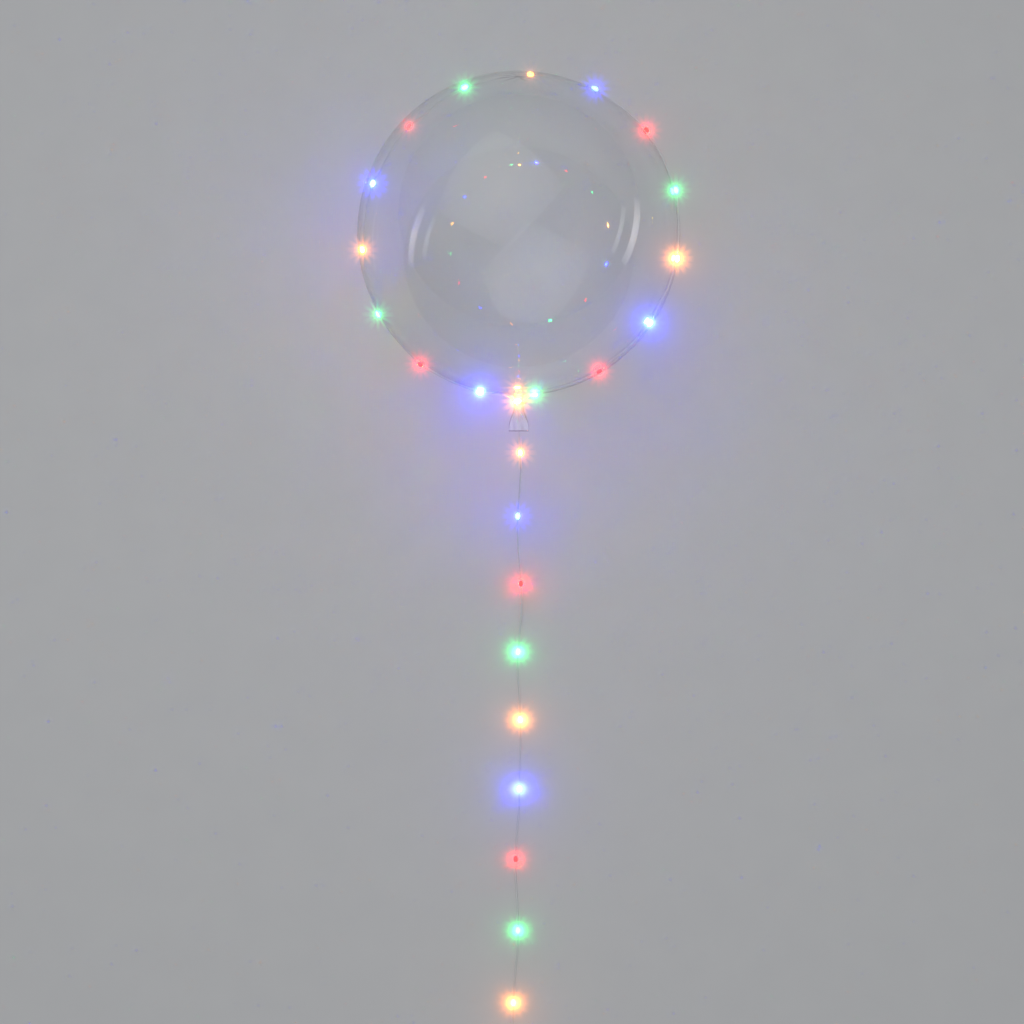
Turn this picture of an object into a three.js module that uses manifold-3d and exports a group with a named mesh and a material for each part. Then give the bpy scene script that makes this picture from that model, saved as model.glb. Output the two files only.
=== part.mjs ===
// A clear bubble balloon with a string of coloured lights, lying on a floor. Millimetres, +Z up.
// The origin is the middle of the flat spot that the balloon rests on. +Y runs from the neck to the
// crown, and the neck droops a little below level. The string passes up the neck, makes one loop over
// the film and ends in a wrap round the neck. Below the neck it runs along the floor to a small coil
// and a battery box.
import * as THREE from "three";
import { mergeVertices } from "three/addons/utils/BufferGeometryUtils.js";
import Module from "manifold-3d";

const wasm = await Module();
wasm.setup();

// Balloon film
const FILM_DIAMETER = 457.2;
const REST_SPOT_DIAMETER = 80;
const NECK_DROOP_DEG = 12;
const THROAT_DIAMETER = 13;
const THROAT_LENGTH = 10;
const NECK_FILLET = 7;
const NECK_FOOT_DIAMETER = 36;
const FLAP_LENGTH = 36;
const FLAP_WIDTH = 28;
const FLAP_THICKNESS = 2.4;
const PLEATS = 12;
const PLEAT_DEPTH = 1.2;
const PLEAT_REACH = 26;

// String of lights
const WIRE_DIAMETER = 2;
const DROP_DIAMETER = 6;
const DROP_LENGTH = 9;
const DROP_PITCH = 100;
const DROPS_ON_COIL = 4;
const DROPS_ON_TAIL = 10;
const FIT_GAP = 0.3;
const BORE_GAP = 0.35;

// Loop over the film. Its start and end are measured along the film from the neck's axis, and the loop
// has as many drops as keep the gaps between them within the pitch.
const LOOP_TURN_DEG = 13.3;
const LOOP_START = 22.9;
const LOOP_END = 57.2;
const LOOP_WANDER = 4;
const LIFT_SPREAD = 24;

// Tail, coil and the lead to the battery box
const FIRST_DROP_ON_TAIL = 60;
const FLOOR_RUN_START = 277;
const COIL_MEAN_DIAMETER = 22;
const COIL_BUNDLE_WIDTH = 9.6;
const COIL_BUNDLE_HEIGHT = 7.2;
const TIE_THICKNESS = 0.5;
const TIE_WIDTH = 4;
const TIE_TWIST_LENGTH = 12;
const TIE_TWIST_DIAMETER = 1.8;
const LEAD_LENGTH = 40;

// Battery box
const BOX_LENGTH = 68;
const BOX_WIDTH = 48;
const BOX_HEIGHT = 17;
const BOX_WALL = 2;
const BOX_CORNER = 5;
const LID_THICKNESS = 2;
const LID_LIP_DEPTH = 2;
const LID_LIP_THICKNESS = 1.4;
const GRIP_RIDGES = 5;
const GRIP_RIDGE_LENGTH = 16;
const GRIP_RIDGE_WIDTH = 1.2;
const GRIP_RIDGE_HEIGHT = 0.6;
const GRIP_RIDGE_PITCH = 2.6;
const SCREW_HEAD_DIAMETER = 5;
const SCREW_HEAD_HEIGHT = 1.2;
const SCREW_SHANK_DIAMETER = 2;
const SCREW_LENGTH = 9;
const SCREW_SLOT_WIDTH = 0.7;
const SCREW_SLOT_DEPTH = 0.5;
const BOSS_DIAMETER = 6;
const SLEEVE_LENGTH = 9;
const SLEEVE_ROOT_DIAMETER = 6;
const SLEEVE_TIP_DIAMETER = 4.2;
const LEAD_HEIGHT_ON_BOX = 8;

const FILM_SIDES = 48;
const FILM_RINGS = 17;
const WIRE_SIDES = 8;
const DROP_SIDES = 8;

const filmRadius = FILM_DIAMETER / 2;
const wireRadius = WIRE_DIAMETER / 2;
const dropRadius = DROP_DIAMETER / 2;
const throatRadius = THROAT_DIAMETER / 2;
const spotRadius = REST_SPOT_DIAMETER / 2;
const centreHeight = Math.sqrt(filmRadius ** 2 - spotRadius ** 2);
const throatTop = filmRadius + NECK_FILLET;
const throatEnd = throatTop + THROAT_LENGTH;
const flapEnd = throatEnd + FLAP_LENGTH;
const coilMeanRadius = COIL_MEAN_DIAMETER / 2;
const coilOuterRadius = coilMeanRadius + COIL_BUNDLE_WIDTH / 2;

const COLOURS = ["amber", "green", "red", "blue"];
const clearFilm = new THREE.MeshStandardMaterial({
  color: 0xe9f0f4,
  roughness: 0.04,
  metalness: 0,
  transparent: true,
  opacity: 0.22,
});
const clearWire = new THREE.MeshStandardMaterial({ color: 0xb9bdc2, roughness: 0.3, metalness: 0.4 });
const whiteAbs = new THREE.MeshStandardMaterial({ color: 0xe9e8e3, roughness: 0.45, metalness: 0 });
const softVinyl = new THREE.MeshStandardMaterial({ color: 0xdedfe0, roughness: 0.5, metalness: 0 });
const tiePaper = new THREE.MeshStandardMaterial({ color: 0xf2f2f0, roughness: 0.6, metalness: 0 });
const zincSteel = new THREE.MeshStandardMaterial({ color: 0xb4b6b8, roughness: 0.35, metalness: 1 });
const resins = {
  amber: new THREE.MeshStandardMaterial({ color: 0xffb347, roughness: 0.15, emissive: 0xff9a2e }),
  blue: new THREE.MeshStandardMaterial({ color: 0x4f6dff, roughness: 0.15, emissive: 0x2f49ff }),
  red: new THREE.MeshStandardMaterial({ color: 0xff5a5f, roughness: 0.15, emissive: 0xff1f2d }),
  green: new THREE.MeshStandardMaterial({ color: 0x3fe0a0, roughness: 0.15, emissive: 0x12c27c }),
};

// A closed geometry as a solid that can be joined and cut.
function solidOf(geometry) {
  const bare = geometry.clone();
  bare.deleteAttribute("normal");
  bare.deleteAttribute("uv");
  const merged = mergeVertices(bare, 1e-4);
  return new wasm.Manifold(
    new wasm.Mesh({
      numProp: 3,
      vertProperties: merged.attributes.position.array,
      triVerts: new Uint32Array(merged.index.array),
    }),
  );
}

function geometryOf(solid) {
  const mesh = solid.getMesh();
  return new THREE.BufferGeometry()
    .setAttribute("position", new THREE.BufferAttribute(mesh.vertProperties, 3))
    .setIndex(new THREE.BufferAttribute(mesh.triVerts, 1));
}

function namedMesh(name, geometry, material) {
  const mesh = new THREE.Mesh(geometry, material);
  mesh.name = name;
  return mesh;
}

// A smooth line through its points. A tube along it has one ring at each point, so the points stand
// closer together where the wire bends.
class WireLine extends THREE.CatmullRomCurve3 {
  getPointAt(share, target) {
    return this.getPoint(share, target);
  }
  getTangentAt(share, target) {
    return this.getTangent(share, target);
  }
}

function tube(points, radius) {
  const section = new THREE.Shape();
  for (let side = 0; side < WIRE_SIDES; side++) {
    const angle = (side / WIRE_SIDES) * 2 * Math.PI;
    const corner = [radius * Math.cos(angle), radius * Math.sin(angle)];
    if (side === 0) section.moveTo(...corner);
    else section.lineTo(...corner);
  }
  return new THREE.ExtrudeGeometry(section, {
    steps: points.length - 1,
    extrudePath: new WireLine(points),
  });
}

// Balloon film: a sphere, a gathered throat and a flat flap, closed at both ends because it is sealed.
function filmProfile() {
  const footRadius = NECK_FOOT_DIAMETER / 2;
  const footAngle = Math.asin(footRadius / filmRadius);
  const profile = [];
  for (let ring = 0; ring <= FILM_RINGS; ring++) {
    const fromCrown = ((Math.PI - footAngle) * ring) / FILM_RINGS;
    const radius = ring === 0 ? 0 : filmRadius * Math.sin(fromCrown);
    profile.push(new THREE.Vector2(radius, filmRadius * Math.cos(fromCrown)));
  }
  const fillet = new THREE.QuadraticBezierCurve(
    profile[profile.length - 1],
    new THREE.Vector2(throatRadius, -filmRadius),
    new THREE.Vector2(throatRadius, -throatTop),
  );
  profile.push(...fillet.getPoints(4).slice(1));
  profile.push(new THREE.Vector2(throatRadius, -throatEnd));
  for (const share of [0.15, 0.35, 0.65, 1]) {
    profile.push(new THREE.Vector2(throatRadius, -(throatEnd + share * FLAP_LENGTH)));
  }
  profile.push(new THREE.Vector2(0, -flapEnd));
  return profile.reverse();
}

function smooth(low, high, value) {
  return THREE.MathUtils.smoothstep(value, low, high);
}

// How far out a pleat's crest or valley lies, as a share of the distance from the axis.
function pleatShare(angle, fromAxis, along) {
  const deep = 1 - smooth(throatRadius, throatRadius + PLEAT_REACH, fromAxis);
  const onFlap = smooth(throatEnd, flapEnd, -along);
  const valley = (1 - Math.cos(PLEATS * angle)) / 2;
  return 1 - (PLEAT_DEPTH / throatRadius) * deep * (1 - onFlap) * valley;
}

function filmGeometry() {
  const geometry = new THREE.LatheGeometry(filmProfile(), FILM_SIDES);
  const place = geometry.attributes.position;
  for (let i = 0; i < place.count; i++) {
    const x = place.getX(i);
    const y = place.getY(i);
    const z = place.getZ(i);
    const nearNeck = y < -filmRadius * 0.9;
    const pleat = nearNeck ? pleatShare(Math.atan2(z, x), Math.hypot(x, z), y) : 1;
    const flat = smooth(throatEnd, throatEnd + 0.8 * FLAP_LENGTH, -y);
    const wide = THREE.MathUtils.lerp(1, FLAP_WIDTH / THROAT_DIAMETER, flat);
    const thick = THREE.MathUtils.lerp(1, FLAP_THICKNESS / THROAT_DIAMETER, flat);
    place.setXYZ(i, x * pleat * wide, y, z * pleat * thick);
  }
  return geometry;
}

// From the balloon's own axes, with its crown along +Y, to the frame of the part.
const lie = new THREE.Matrix4()
  .makeTranslation(0, 0, centreHeight)
  .multiply(new THREE.Matrix4().makeRotationX(THREE.MathUtils.degToRad(NECK_DROOP_DEG)));

function filmMesh() {
  const upright = filmGeometry().applyMatrix4(lie);
  const floorBlock = new THREE.BoxGeometry(FILM_DIAMETER, FILM_DIAMETER, FILM_DIAMETER);
  floorBlock.translate(0, 0, -FILM_DIAMETER / 2);
  const rested = solidOf(upright).subtract(solidOf(floorBlock));
  return namedMesh("balloon_film", geometryOf(rested), clearFilm);
}

// Loop of wire. A place on it is an angle round the loop from the neck, towards +X first.
const loopTurn = THREE.MathUtils.degToRad(LOOP_TURN_DEG);
const dropLift = dropRadius + FIT_GAP;
const wireLift = wireRadius + FIT_GAP;
const loopRadius = filmRadius + dropLift;
const loopStart = LOOP_START / loopRadius;
const loopEnd = 2 * Math.PI - LOOP_END / loopRadius;
const loopGaps = Math.ceil(((loopEnd - loopStart) * loopRadius) / DROP_PITCH);
const gapAngle = (loopEnd - loopStart) / loopGaps;
const halfSeat = DROP_LENGTH / 2 + 0.5;
const halfSeatAngle = halfSeat / loopRadius;
const seatShare = halfSeat / DROP_PITCH;
const GAP_SHARES = [seatShare, 0.2, 0.38, 0.62, 0.8, 1 - seatShare];

function loopPoint(angle, lift, aside) {
  const out = new THREE.Vector3(
    Math.sin(angle) * Math.cos(loopTurn),
    -Math.cos(angle),
    Math.sin(angle) * Math.sin(loopTurn),
  );
  const across = new THREE.Vector3(-Math.sin(loopTurn), 0, Math.cos(loopTurn));
  return out
    .multiplyScalar(filmRadius + lift)
    .addScaledVector(across, aside)
    .setLength(filmRadius + lift);
}

function loopAngle(drop) {
  return loopStart + drop * gapAngle;
}

// A point beside the neck: degrees round the axis from +X towards +Z, and the wire's own distance out
// from the throat.
function neckPoint(degrees, off, along) {
  const angle = THREE.MathUtils.degToRad(degrees);
  const fromAxis = throatRadius + wireLift + off;
  return new THREE.Vector3(fromAxis * Math.cos(angle), -along, fromAxis * Math.sin(angle));
}

// The wire comes to the underside of the neck from below it and turns up towards the loop's start.
const tailExit = neckPoint(-94, 1, throatEnd + 7);

function neckPoints() {
  return [
    tailExit.clone(),
    neckPoint(-92, 0.8, throatEnd + 4),
    neckPoint(-86, 0.4, throatEnd),
    neckPoint(-74, 0.3, throatEnd - 2.6),
    neckPoint(-58, 0.3, throatEnd - 5.2),
    neckPoint(-40, 0.3, throatTop + 2),
    neckPoint(-22, 0.9, throatTop - 0.4),
    neckPoint(-4, 2.8, throatTop - 2.9),
  ];
}

function loopPoints() {
  const points = [loopPoint(loopStart - halfSeatAngle, dropLift, 0)];
  for (let gap = 0; gap < loopGaps; gap++) {
    const size = LOOP_WANDER * (0.7 + 0.3 * Math.sin(1.7 * gap));
    for (const share of GAP_SHARES) {
      const toDrop = Math.min(share, 1 - share) * DROP_PITCH;
      const away = smooth(halfSeat, LIFT_SPREAD, toDrop);
      const lift = THREE.MathUtils.lerp(dropLift, wireLift, away);
      const aside = size * away * Math.sin(2 * Math.PI * share);
      points.push(loopPoint(loopAngle(gap + share), lift, aside));
    }
  }
  points.push(loopPoint(loopEnd + halfSeatAngle, dropLift, 0));
  return points;
}

// The loop's end: from the last drop on the film, under the neck and over the wire that is there, and
// up to the end drop, which lies on top of the neck.
const wrapAlong = throatTop + THROAT_LENGTH / 2;
const overWire = WIRE_DIAMETER + 2 * FIT_GAP;
const endDropCentre = new THREE.Vector3(-2, -wrapAlong, throatRadius + FIT_GAP + dropRadius);

function endPoints() {
  const half = DROP_LENGTH / 2;
  const footRadius = NECK_FOOT_DIAMETER / 2;
  return [
    loopPoint(-(footRadius + 20) / filmRadius, wireLift, 0),
    loopPoint(-(footRadius + 5) / filmRadius, wireLift, 0),
    neckPoint(204, 6, throatTop - 3),
    neckPoint(228, overWire + 0.9, throatTop + 0.6),
    neckPoint(252, overWire + 0.4, throatTop + 3),
    neckPoint(276, overWire + 0.4, wrapAlong - 0.9),
    neckPoint(300, overWire + 0.4, wrapAlong - 0.2),
    neckPoint(324, overWire + 0.4, wrapAlong),
    neckPoint(348, overWire, wrapAlong),
    neckPoint(12, 0.9, wrapAlong),
    neckPoint(36, 0.6, wrapAlong),
    endDropCentre.clone().add(new THREE.Vector3(half, 0, 0)),
    endDropCentre.clone().add(new THREE.Vector3(-half, 0, 0)),
  ];
}

function heldWireMesh() {
  const points = [...neckPoints(), ...loopPoints(), ...endPoints()];
  return namedMesh("loop_wire", tube(points, wireRadius).applyMatrix4(lie), clearWire);
}

// A drop of resin with a bore for the wire, its length along +Y.
function dropGeometry() {
  const boreRadius = wireRadius + BORE_GAP;
  const profile = [];
  const steps = 4;
  for (let step = 0; step <= steps; step++) {
    const angle = -Math.PI / 2 + (Math.PI * step) / steps;
    profile.push(
      new THREE.Vector2(
        boreRadius + (dropRadius - boreRadius) * Math.max(Math.cos(angle), 0.12),
        (DROP_LENGTH / 2) * Math.sin(angle),
      ),
    );
  }
  profile.push(new THREE.Vector2(boreRadius, DROP_LENGTH / 2));
  profile.push(new THREE.Vector2(boreRadius, -DROP_LENGTH / 2));
  profile.push(profile[0].clone());
  return new THREE.LatheGeometry(profile, DROP_SIDES);
}

// Drops are counted from the battery box, so the colours follow one another along the whole string.
const firstOnLoop = DROPS_ON_COIL + DROPS_ON_TAIL + 1;

function dropMesh(number, before, after) {
  const colour = COLOURS[(number + 2) % COLOURS.length];
  const mesh = namedMesh(
    `light_${String(number).padStart(2, "0")}_${colour}`,
    dropGeometry(),
    resins[colour],
  );
  mesh.position.addVectors(before, after).multiplyScalar(0.5);
  const direction = new THREE.Vector3().subVectors(after, before).normalize();
  mesh.quaternion.setFromUnitVectors(new THREE.Vector3(0, 1, 0), direction);
  return mesh;
}

function loopDrops() {
  const meshes = [];
  for (let drop = 0; drop <= loopGaps; drop++) {
    const before = loopPoint(loopAngle(drop) - halfSeatAngle, dropLift, 0).applyMatrix4(lie);
    const after = loopPoint(loopAngle(drop) + halfSeatAngle, dropLift, 0).applyMatrix4(lie);
    meshes.push(dropMesh(firstOnLoop + drop, before, after));
  }
  const half = new THREE.Vector3(DROP_LENGTH / 2, 0, 0);
  const before = endDropCentre.clone().sub(half).applyMatrix4(lie);
  const after = endDropCentre.clone().add(half).applyMatrix4(lie);
  meshes.push(dropMesh(firstOnLoop + loopGaps + 1, before, after));
  return meshes;
}

// Tail. Its route starts at the winding, and each point of the drop to the floor is a distance aside,
// a distance out from the start and a share of the start's height. On the floor it wanders a little.
const tailStart = tailExit.clone().applyMatrix4(lie);
const outward = new THREE.Vector3(0, -1, 0).transformDirection(lie);
tailStart.addScaledVector(outward, FIT_GAP);
const DROP_ROUTE = [
  [0.9, 22, 0.95],
  [2.3, 44, 0.845],
  [3.2, 66, 0.705],
  [2, 90, 0.556],
  [-0.4, 116, 0.415],
  [-1.3, 145, 0.28],
  [1.2, 176, 0.163],
  [3.9, 209, 0.077],
  [4.3, 243, 0.026],
];
const FLOOR_ROUTE = [
  [2, 0],
  [-1.1, 48],
  [1.5, 98],
  [3.2, 148],
  [1.6, 198],
  [1.2, 248],
  [-2.6, 298],
  [-4, 348],
  [-1.4, 398],
  [-1, 448],
  [-5.4, 498],
  [-7.5, 548],
  [-6.2, 598],
  [-5.4, 648],
  [-5, 676],
];
const tailEnd = FLOOR_ROUTE[FLOOR_ROUTE.length - 1];

function tailRoute() {
  const dropped = DROP_ROUTE.map(
    ([aside, out, height]) =>
      new THREE.Vector3(
        tailStart.x + aside,
        tailStart.y - out,
        wireRadius + height * (tailStart.z - wireRadius),
      ),
  );
  const onFloor = FLOOR_ROUTE.map(
    ([aside, out]) =>
      new THREE.Vector3(tailStart.x + aside, tailStart.y - FLOOR_RUN_START - out, wireRadius),
  );
  return new THREE.CatmullRomCurve3([tailStart.clone(), ...dropped, ...onFloor]);
}

const route = tailRoute();
route.arcLengthDivisions = 2000;
const routeLength = route.getLength();

// Where a drop lies on the floor, it holds the wire up by the drop's own radius.
function tailPoint(distance) {
  const point = route.getPointAt(Math.min(distance / routeLength, 1));
  const fromDrop = Math.abs(distance - nearestDrop(distance));
  const held = dropRadius * (1 - smooth(halfSeat, LIFT_SPREAD, fromDrop));
  point.z = Math.max(point.z, wireRadius, held);
  return point;
}

function nearestDrop(distance) {
  const number = Math.round((distance - FIRST_DROP_ON_TAIL) / DROP_PITCH);
  const kept = THREE.MathUtils.clamp(number, 0, DROPS_ON_TAIL - 1);
  return FIRST_DROP_ON_TAIL + kept * DROP_PITCH;
}

function tailPoints() {
  const stations = [0, 12, 26, 40, 54];
  for (let gap = 0; gap < DROPS_ON_TAIL; gap++) {
    for (const share of [-seatShare, ...GAP_SHARES.slice(0, -1)]) {
      stations.push(FIRST_DROP_ON_TAIL + (gap + share) * DROP_PITCH);
    }
  }
  const kept = stations.filter((station) => station < routeLength - 4);
  return [...kept, routeLength].map(tailPoint);
}

function tailMeshes() {
  const meshes = [namedMesh("tail_wire", tube(tailPoints(), wireRadius), clearWire)];
  for (let drop = 0; drop < DROPS_ON_TAIL; drop++) {
    const centre = FIRST_DROP_ON_TAIL + drop * DROP_PITCH;
    const before = tailPoint(centre - halfSeat);
    const after = tailPoint(centre + halfSeat);
    meshes.push(dropMesh(firstOnLoop - 1 - drop, before, after));
  }
  return meshes;
}

// Coil: the tail comes in along its +X side, and the lead leaves it on its -Y side.
const coilBottom = TIE_THICKNESS + FIT_GAP;
const coilCentre = new THREE.Vector3(
  tailStart.x + tailEnd[0] - (coilOuterRadius + wireRadius + FIT_GAP),
  tailStart.y - FLOOR_RUN_START - tailEnd[1],
  coilBottom + COIL_BUNDLE_HEIGHT / 2,
);

function coilMesh() {
  const bundle = [];
  const sides = 10;
  for (let side = 0; side <= sides; side++) {
    const angle = (side / sides) * 2 * Math.PI;
    bundle.push(
      new THREE.Vector2(
        coilMeanRadius + (COIL_BUNDLE_WIDTH / 2) * Math.cos(angle),
        (COIL_BUNDLE_HEIGHT / 2) * Math.sin(angle),
      ),
    );
  }
  bundle[sides] = bundle[0].clone();
  const mesh = namedMesh("wire_coil", new THREE.LatheGeometry(bundle, 18), clearWire);
  mesh.rotation.x = Math.PI / 2;
  mesh.position.copy(coilCentre);
  return mesh;
}

// Tie: a band round the coil's bundle on its +Y side, with its two ends twisted together.
function ovalShape(halfWidth, halfHeight) {
  return new THREE.Shape().absellipse(0, 0, halfWidth, halfHeight, 0, 2 * Math.PI);
}

function tieMesh() {
  const coilInnerRadius = coilMeanRadius - COIL_BUNDLE_WIDTH / 2;
  const curveEase = TIE_WIDTH ** 2 / (8 * coilInnerRadius);
  const halfWidth = COIL_BUNDLE_WIDTH / 2 + FIT_GAP + curveEase;
  const halfHeight = COIL_BUNDLE_HEIGHT / 2 + FIT_GAP;
  const band = ovalShape(halfWidth + TIE_THICKNESS, halfHeight + TIE_THICKNESS);
  band.holes.push(ovalShape(halfWidth, halfHeight));
  const ring = new THREE.ExtrudeGeometry(band, {
    depth: TIE_WIDTH,
    bevelEnabled: false,
    curveSegments: 8,
  });
  ring.translate(0, 0, -TIE_WIDTH / 2);
  const twist = new THREE.CylinderGeometry(
    TIE_TWIST_DIAMETER / 2,
    TIE_TWIST_DIAMETER / 2,
    TIE_TWIST_LENGTH,
    8,
  );
  twist.translate(0, halfHeight + TIE_THICKNESS / 2 + TIE_TWIST_LENGTH / 2, 0);
  twist.rotateZ(THREE.MathUtils.degToRad(55));
  const hole = new THREE.ExtrudeGeometry(ovalShape(halfWidth, halfHeight), {
    depth: 2 * TIE_WIDTH,
    bevelEnabled: false,
    curveSegments: 8,
  });
  hole.translate(0, 0, -TIE_WIDTH);
  const tied = solidOf(ring).add(solidOf(twist).subtract(solidOf(hole)));
  const mesh = namedMesh("coil_tie", geometryOf(tied), tiePaper);
  const across = new THREE.Vector3(0, 1, 0);
  const upward = new THREE.Vector3(0, 0, 1);
  const alongWire = new THREE.Vector3(1, 0, 0);
  const stance = new THREE.Matrix4().makeBasis(across, upward, alongWire);
  mesh.quaternion.setFromRotationMatrix(stance);
  mesh.position.copy(coilCentre).addScaledVector(across, coilMeanRadius);
  return mesh;
}

// Lead from the coil to the sleeve of the battery box.
const leadStart = coilCentre
  .clone()
  .add(new THREE.Vector3(0, -(coilOuterRadius + wireRadius + FIT_GAP), 0))
  .setZ(coilBottom + wireRadius);
const sleeveTip = new THREE.Vector3(leadStart.x - LEAD_LENGTH, leadStart.y, LEAD_HEIGHT_ON_BOX);
const boxEnd = sleeveTip.x - SLEEVE_LENGTH - FIT_GAP;

function leadMesh() {
  const rise = sleeveTip.z - leadStart.z;
  const points = [leadStart.clone()];
  for (const share of [0.14, 0.3, 0.46, 0.62, 0.78, 0.92]) {
    points.push(
      leadStart
        .clone()
        .lerp(sleeveTip, share)
        .setZ(leadStart.z + rise * smooth(0, 1, share)),
    );
  }
  points.push(sleeveTip.clone());
  points.push(new THREE.Vector3(boxEnd, sleeveTip.y, sleeveTip.z));
  points.push(new THREE.Vector3(boxEnd - BOX_WALL - 1.5, sleeveTip.y, sleeveTip.z));
  return namedMesh("box_lead", tube(points, wireRadius), clearWire);
}

function sleeveMesh() {
  const bore = wireRadius + BORE_GAP;
  const profile = [
    new THREE.Vector2(bore, 0),
    new THREE.Vector2(SLEEVE_ROOT_DIAMETER / 2, 0),
    new THREE.Vector2(SLEEVE_ROOT_DIAMETER / 2, 0.25 * SLEEVE_LENGTH),
    new THREE.Vector2(SLEEVE_TIP_DIAMETER / 2, SLEEVE_LENGTH),
    new THREE.Vector2(bore, SLEEVE_LENGTH),
    new THREE.Vector2(bore, 0),
  ];
  const mesh = namedMesh("lead_sleeve", new THREE.LatheGeometry(profile, 12), softVinyl);
  mesh.rotation.z = -Math.PI / 2;
  mesh.position.set(boxEnd + FIT_GAP, sleeveTip.y, sleeveTip.z);
  return mesh;
}

// Battery box: a hollow tray with a lid held by one screw. Its middle is at the group's origin.
function roundedPlate(length, width, corner, thickness) {
  const x = length / 2 - corner;
  const y = width / 2 - corner;
  const outline = new THREE.Shape();
  outline.absarc(x, y, corner, 0, Math.PI / 2);
  outline.absarc(-x, y, corner, Math.PI / 2, Math.PI);
  outline.absarc(-x, -y, corner, Math.PI, 1.5 * Math.PI);
  outline.absarc(x, -y, corner, 1.5 * Math.PI, 2 * Math.PI);
  return new THREE.ExtrudeGeometry(outline, {
    depth: thickness,
    bevelEnabled: false,
    curveSegments: 3,
  });
}

const insideLength = BOX_LENGTH - 2 * BOX_WALL;
const insideWidth = BOX_WIDTH - 2 * BOX_WALL;
const insideCorner = BOX_CORNER - BOX_WALL;
const lidBottom = BOX_HEIGHT + FIT_GAP;
const bossX = -(insideLength / 2 - BOSS_DIAMETER / 2 - 1);

function uprightCylinder(diameter, low, high, x, sides) {
  const cylinder = new THREE.CylinderGeometry(diameter / 2, diameter / 2, high - low, sides);
  return cylinder.rotateX(Math.PI / 2).translate(x, 0, (low + high) / 2);
}

function boxMesh() {
  const cavity = roundedPlate(insideLength, insideWidth, insideCorner, BOX_HEIGHT);
  cavity.translate(0, 0, BOX_WALL);
  const bossTop = BOX_HEIGHT - LID_LIP_DEPTH;
  const boss = uprightCylinder(BOSS_DIAMETER, BOX_WALL / 2, bossTop, bossX, 12);
  const bossHole = uprightCylinder(
    SCREW_SHANK_DIAMETER + 2 * BORE_GAP,
    lidBottom + LID_THICKNESS - SCREW_LENGTH - 1,
    BOX_HEIGHT,
    bossX,
    12,
  );
  const leadHole = new THREE.CylinderGeometry(
    wireRadius + BORE_GAP,
    wireRadius + BORE_GAP,
    4 * BOX_WALL,
    12,
  );
  leadHole.rotateZ(Math.PI / 2).translate(BOX_LENGTH / 2, 0, LEAD_HEIGHT_ON_BOX);
  const tray = solidOf(roundedPlate(BOX_LENGTH, BOX_WIDTH, BOX_CORNER, BOX_HEIGHT))
    .subtract(solidOf(cavity))
    .add(solidOf(boss))
    .subtract(solidOf(bossHole))
    .subtract(solidOf(leadHole));
  return namedMesh("battery_box", geometryOf(tray), whiteAbs);
}

function lidMesh() {
  const lipLength = insideLength - 2 * FIT_GAP;
  const lipWidth = insideWidth - 2 * FIT_GAP;
  const lipCorner = insideCorner - FIT_GAP;
  const lip = roundedPlate(lipLength, lipWidth, lipCorner, LID_LIP_DEPTH + FIT_GAP);
  lip.translate(0, 0, lidBottom - LID_LIP_DEPTH);
  const hollow = roundedPlate(
    lipLength - 2 * LID_LIP_THICKNESS,
    lipWidth - 2 * LID_LIP_THICKNESS,
    lipCorner - LID_LIP_THICKNESS,
    LID_LIP_DEPTH + FIT_GAP,
  );
  hollow.translate(0, 0, lidBottom - LID_LIP_DEPTH - FIT_GAP);
  const plate = roundedPlate(BOX_LENGTH, BOX_WIDTH, BOX_CORNER, LID_THICKNESS);
  plate.translate(0, 0, lidBottom);
  const lidTop = lidBottom + LID_THICKNESS;
  const headSeat = uprightCylinder(
    SCREW_HEAD_DIAMETER + 2 * BORE_GAP,
    lidTop - SCREW_HEAD_HEIGHT - BORE_GAP,
    lidTop + 1,
    bossX,
    12,
  );
  const shankHole = uprightCylinder(
    SCREW_SHANK_DIAMETER + 2 * BORE_GAP,
    lidBottom - LID_LIP_DEPTH,
    lidTop,
    bossX,
    12,
  );
  let lid = solidOf(plate)
    .add(solidOf(lip).subtract(solidOf(hollow)))
    .subtract(solidOf(headSeat))
    .subtract(solidOf(shankHole));
  for (let ridge = 0; ridge < GRIP_RIDGES; ridge++) {
    const bar = new THREE.BoxGeometry(GRIP_RIDGE_WIDTH, GRIP_RIDGE_LENGTH, 2 * GRIP_RIDGE_HEIGHT);
    bar.translate(BOX_LENGTH / 4 + (ridge - GRIP_RIDGES / 2) * GRIP_RIDGE_PITCH, 0, lidTop);
    lid = lid.add(solidOf(bar));
  }
  return namedMesh("battery_lid", geometryOf(lid), whiteAbs);
}

function screwMesh() {
  const top = lidBottom + LID_THICKNESS;
  const head = uprightCylinder(SCREW_HEAD_DIAMETER, top - SCREW_HEAD_HEIGHT, top, bossX, 12);
  const shank = uprightCylinder(
    SCREW_SHANK_DIAMETER,
    top - SCREW_LENGTH,
    top - SCREW_HEAD_HEIGHT / 2,
    bossX,
    12,
  );
  const slot = new THREE.BoxGeometry(
    SCREW_HEAD_DIAMETER + 1,
    SCREW_SLOT_WIDTH,
    2 * SCREW_SLOT_DEPTH,
  );
  slot.rotateZ(THREE.MathUtils.degToRad(35)).translate(bossX, 0, top);
  const screw = solidOf(head).add(solidOf(shank)).subtract(solidOf(slot));
  return namedMesh("lid_screw", geometryOf(screw), zincSteel);
}

function batteryCase() {
  const group = new THREE.Group();
  group.add(boxMesh(), lidMesh(), screwMesh());
  group.position.set(boxEnd - BOX_LENGTH / 2, sleeveTip.y, 0);
  return group;
}

const balloon = new THREE.Group();
balloon.add(filmMesh(), heldWireMesh(), ...loopDrops());
balloon.add(...tailMeshes(), coilMesh(), tieMesh(), leadMesh(), sleeveMesh(), batteryCase());

export default balloon;
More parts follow.
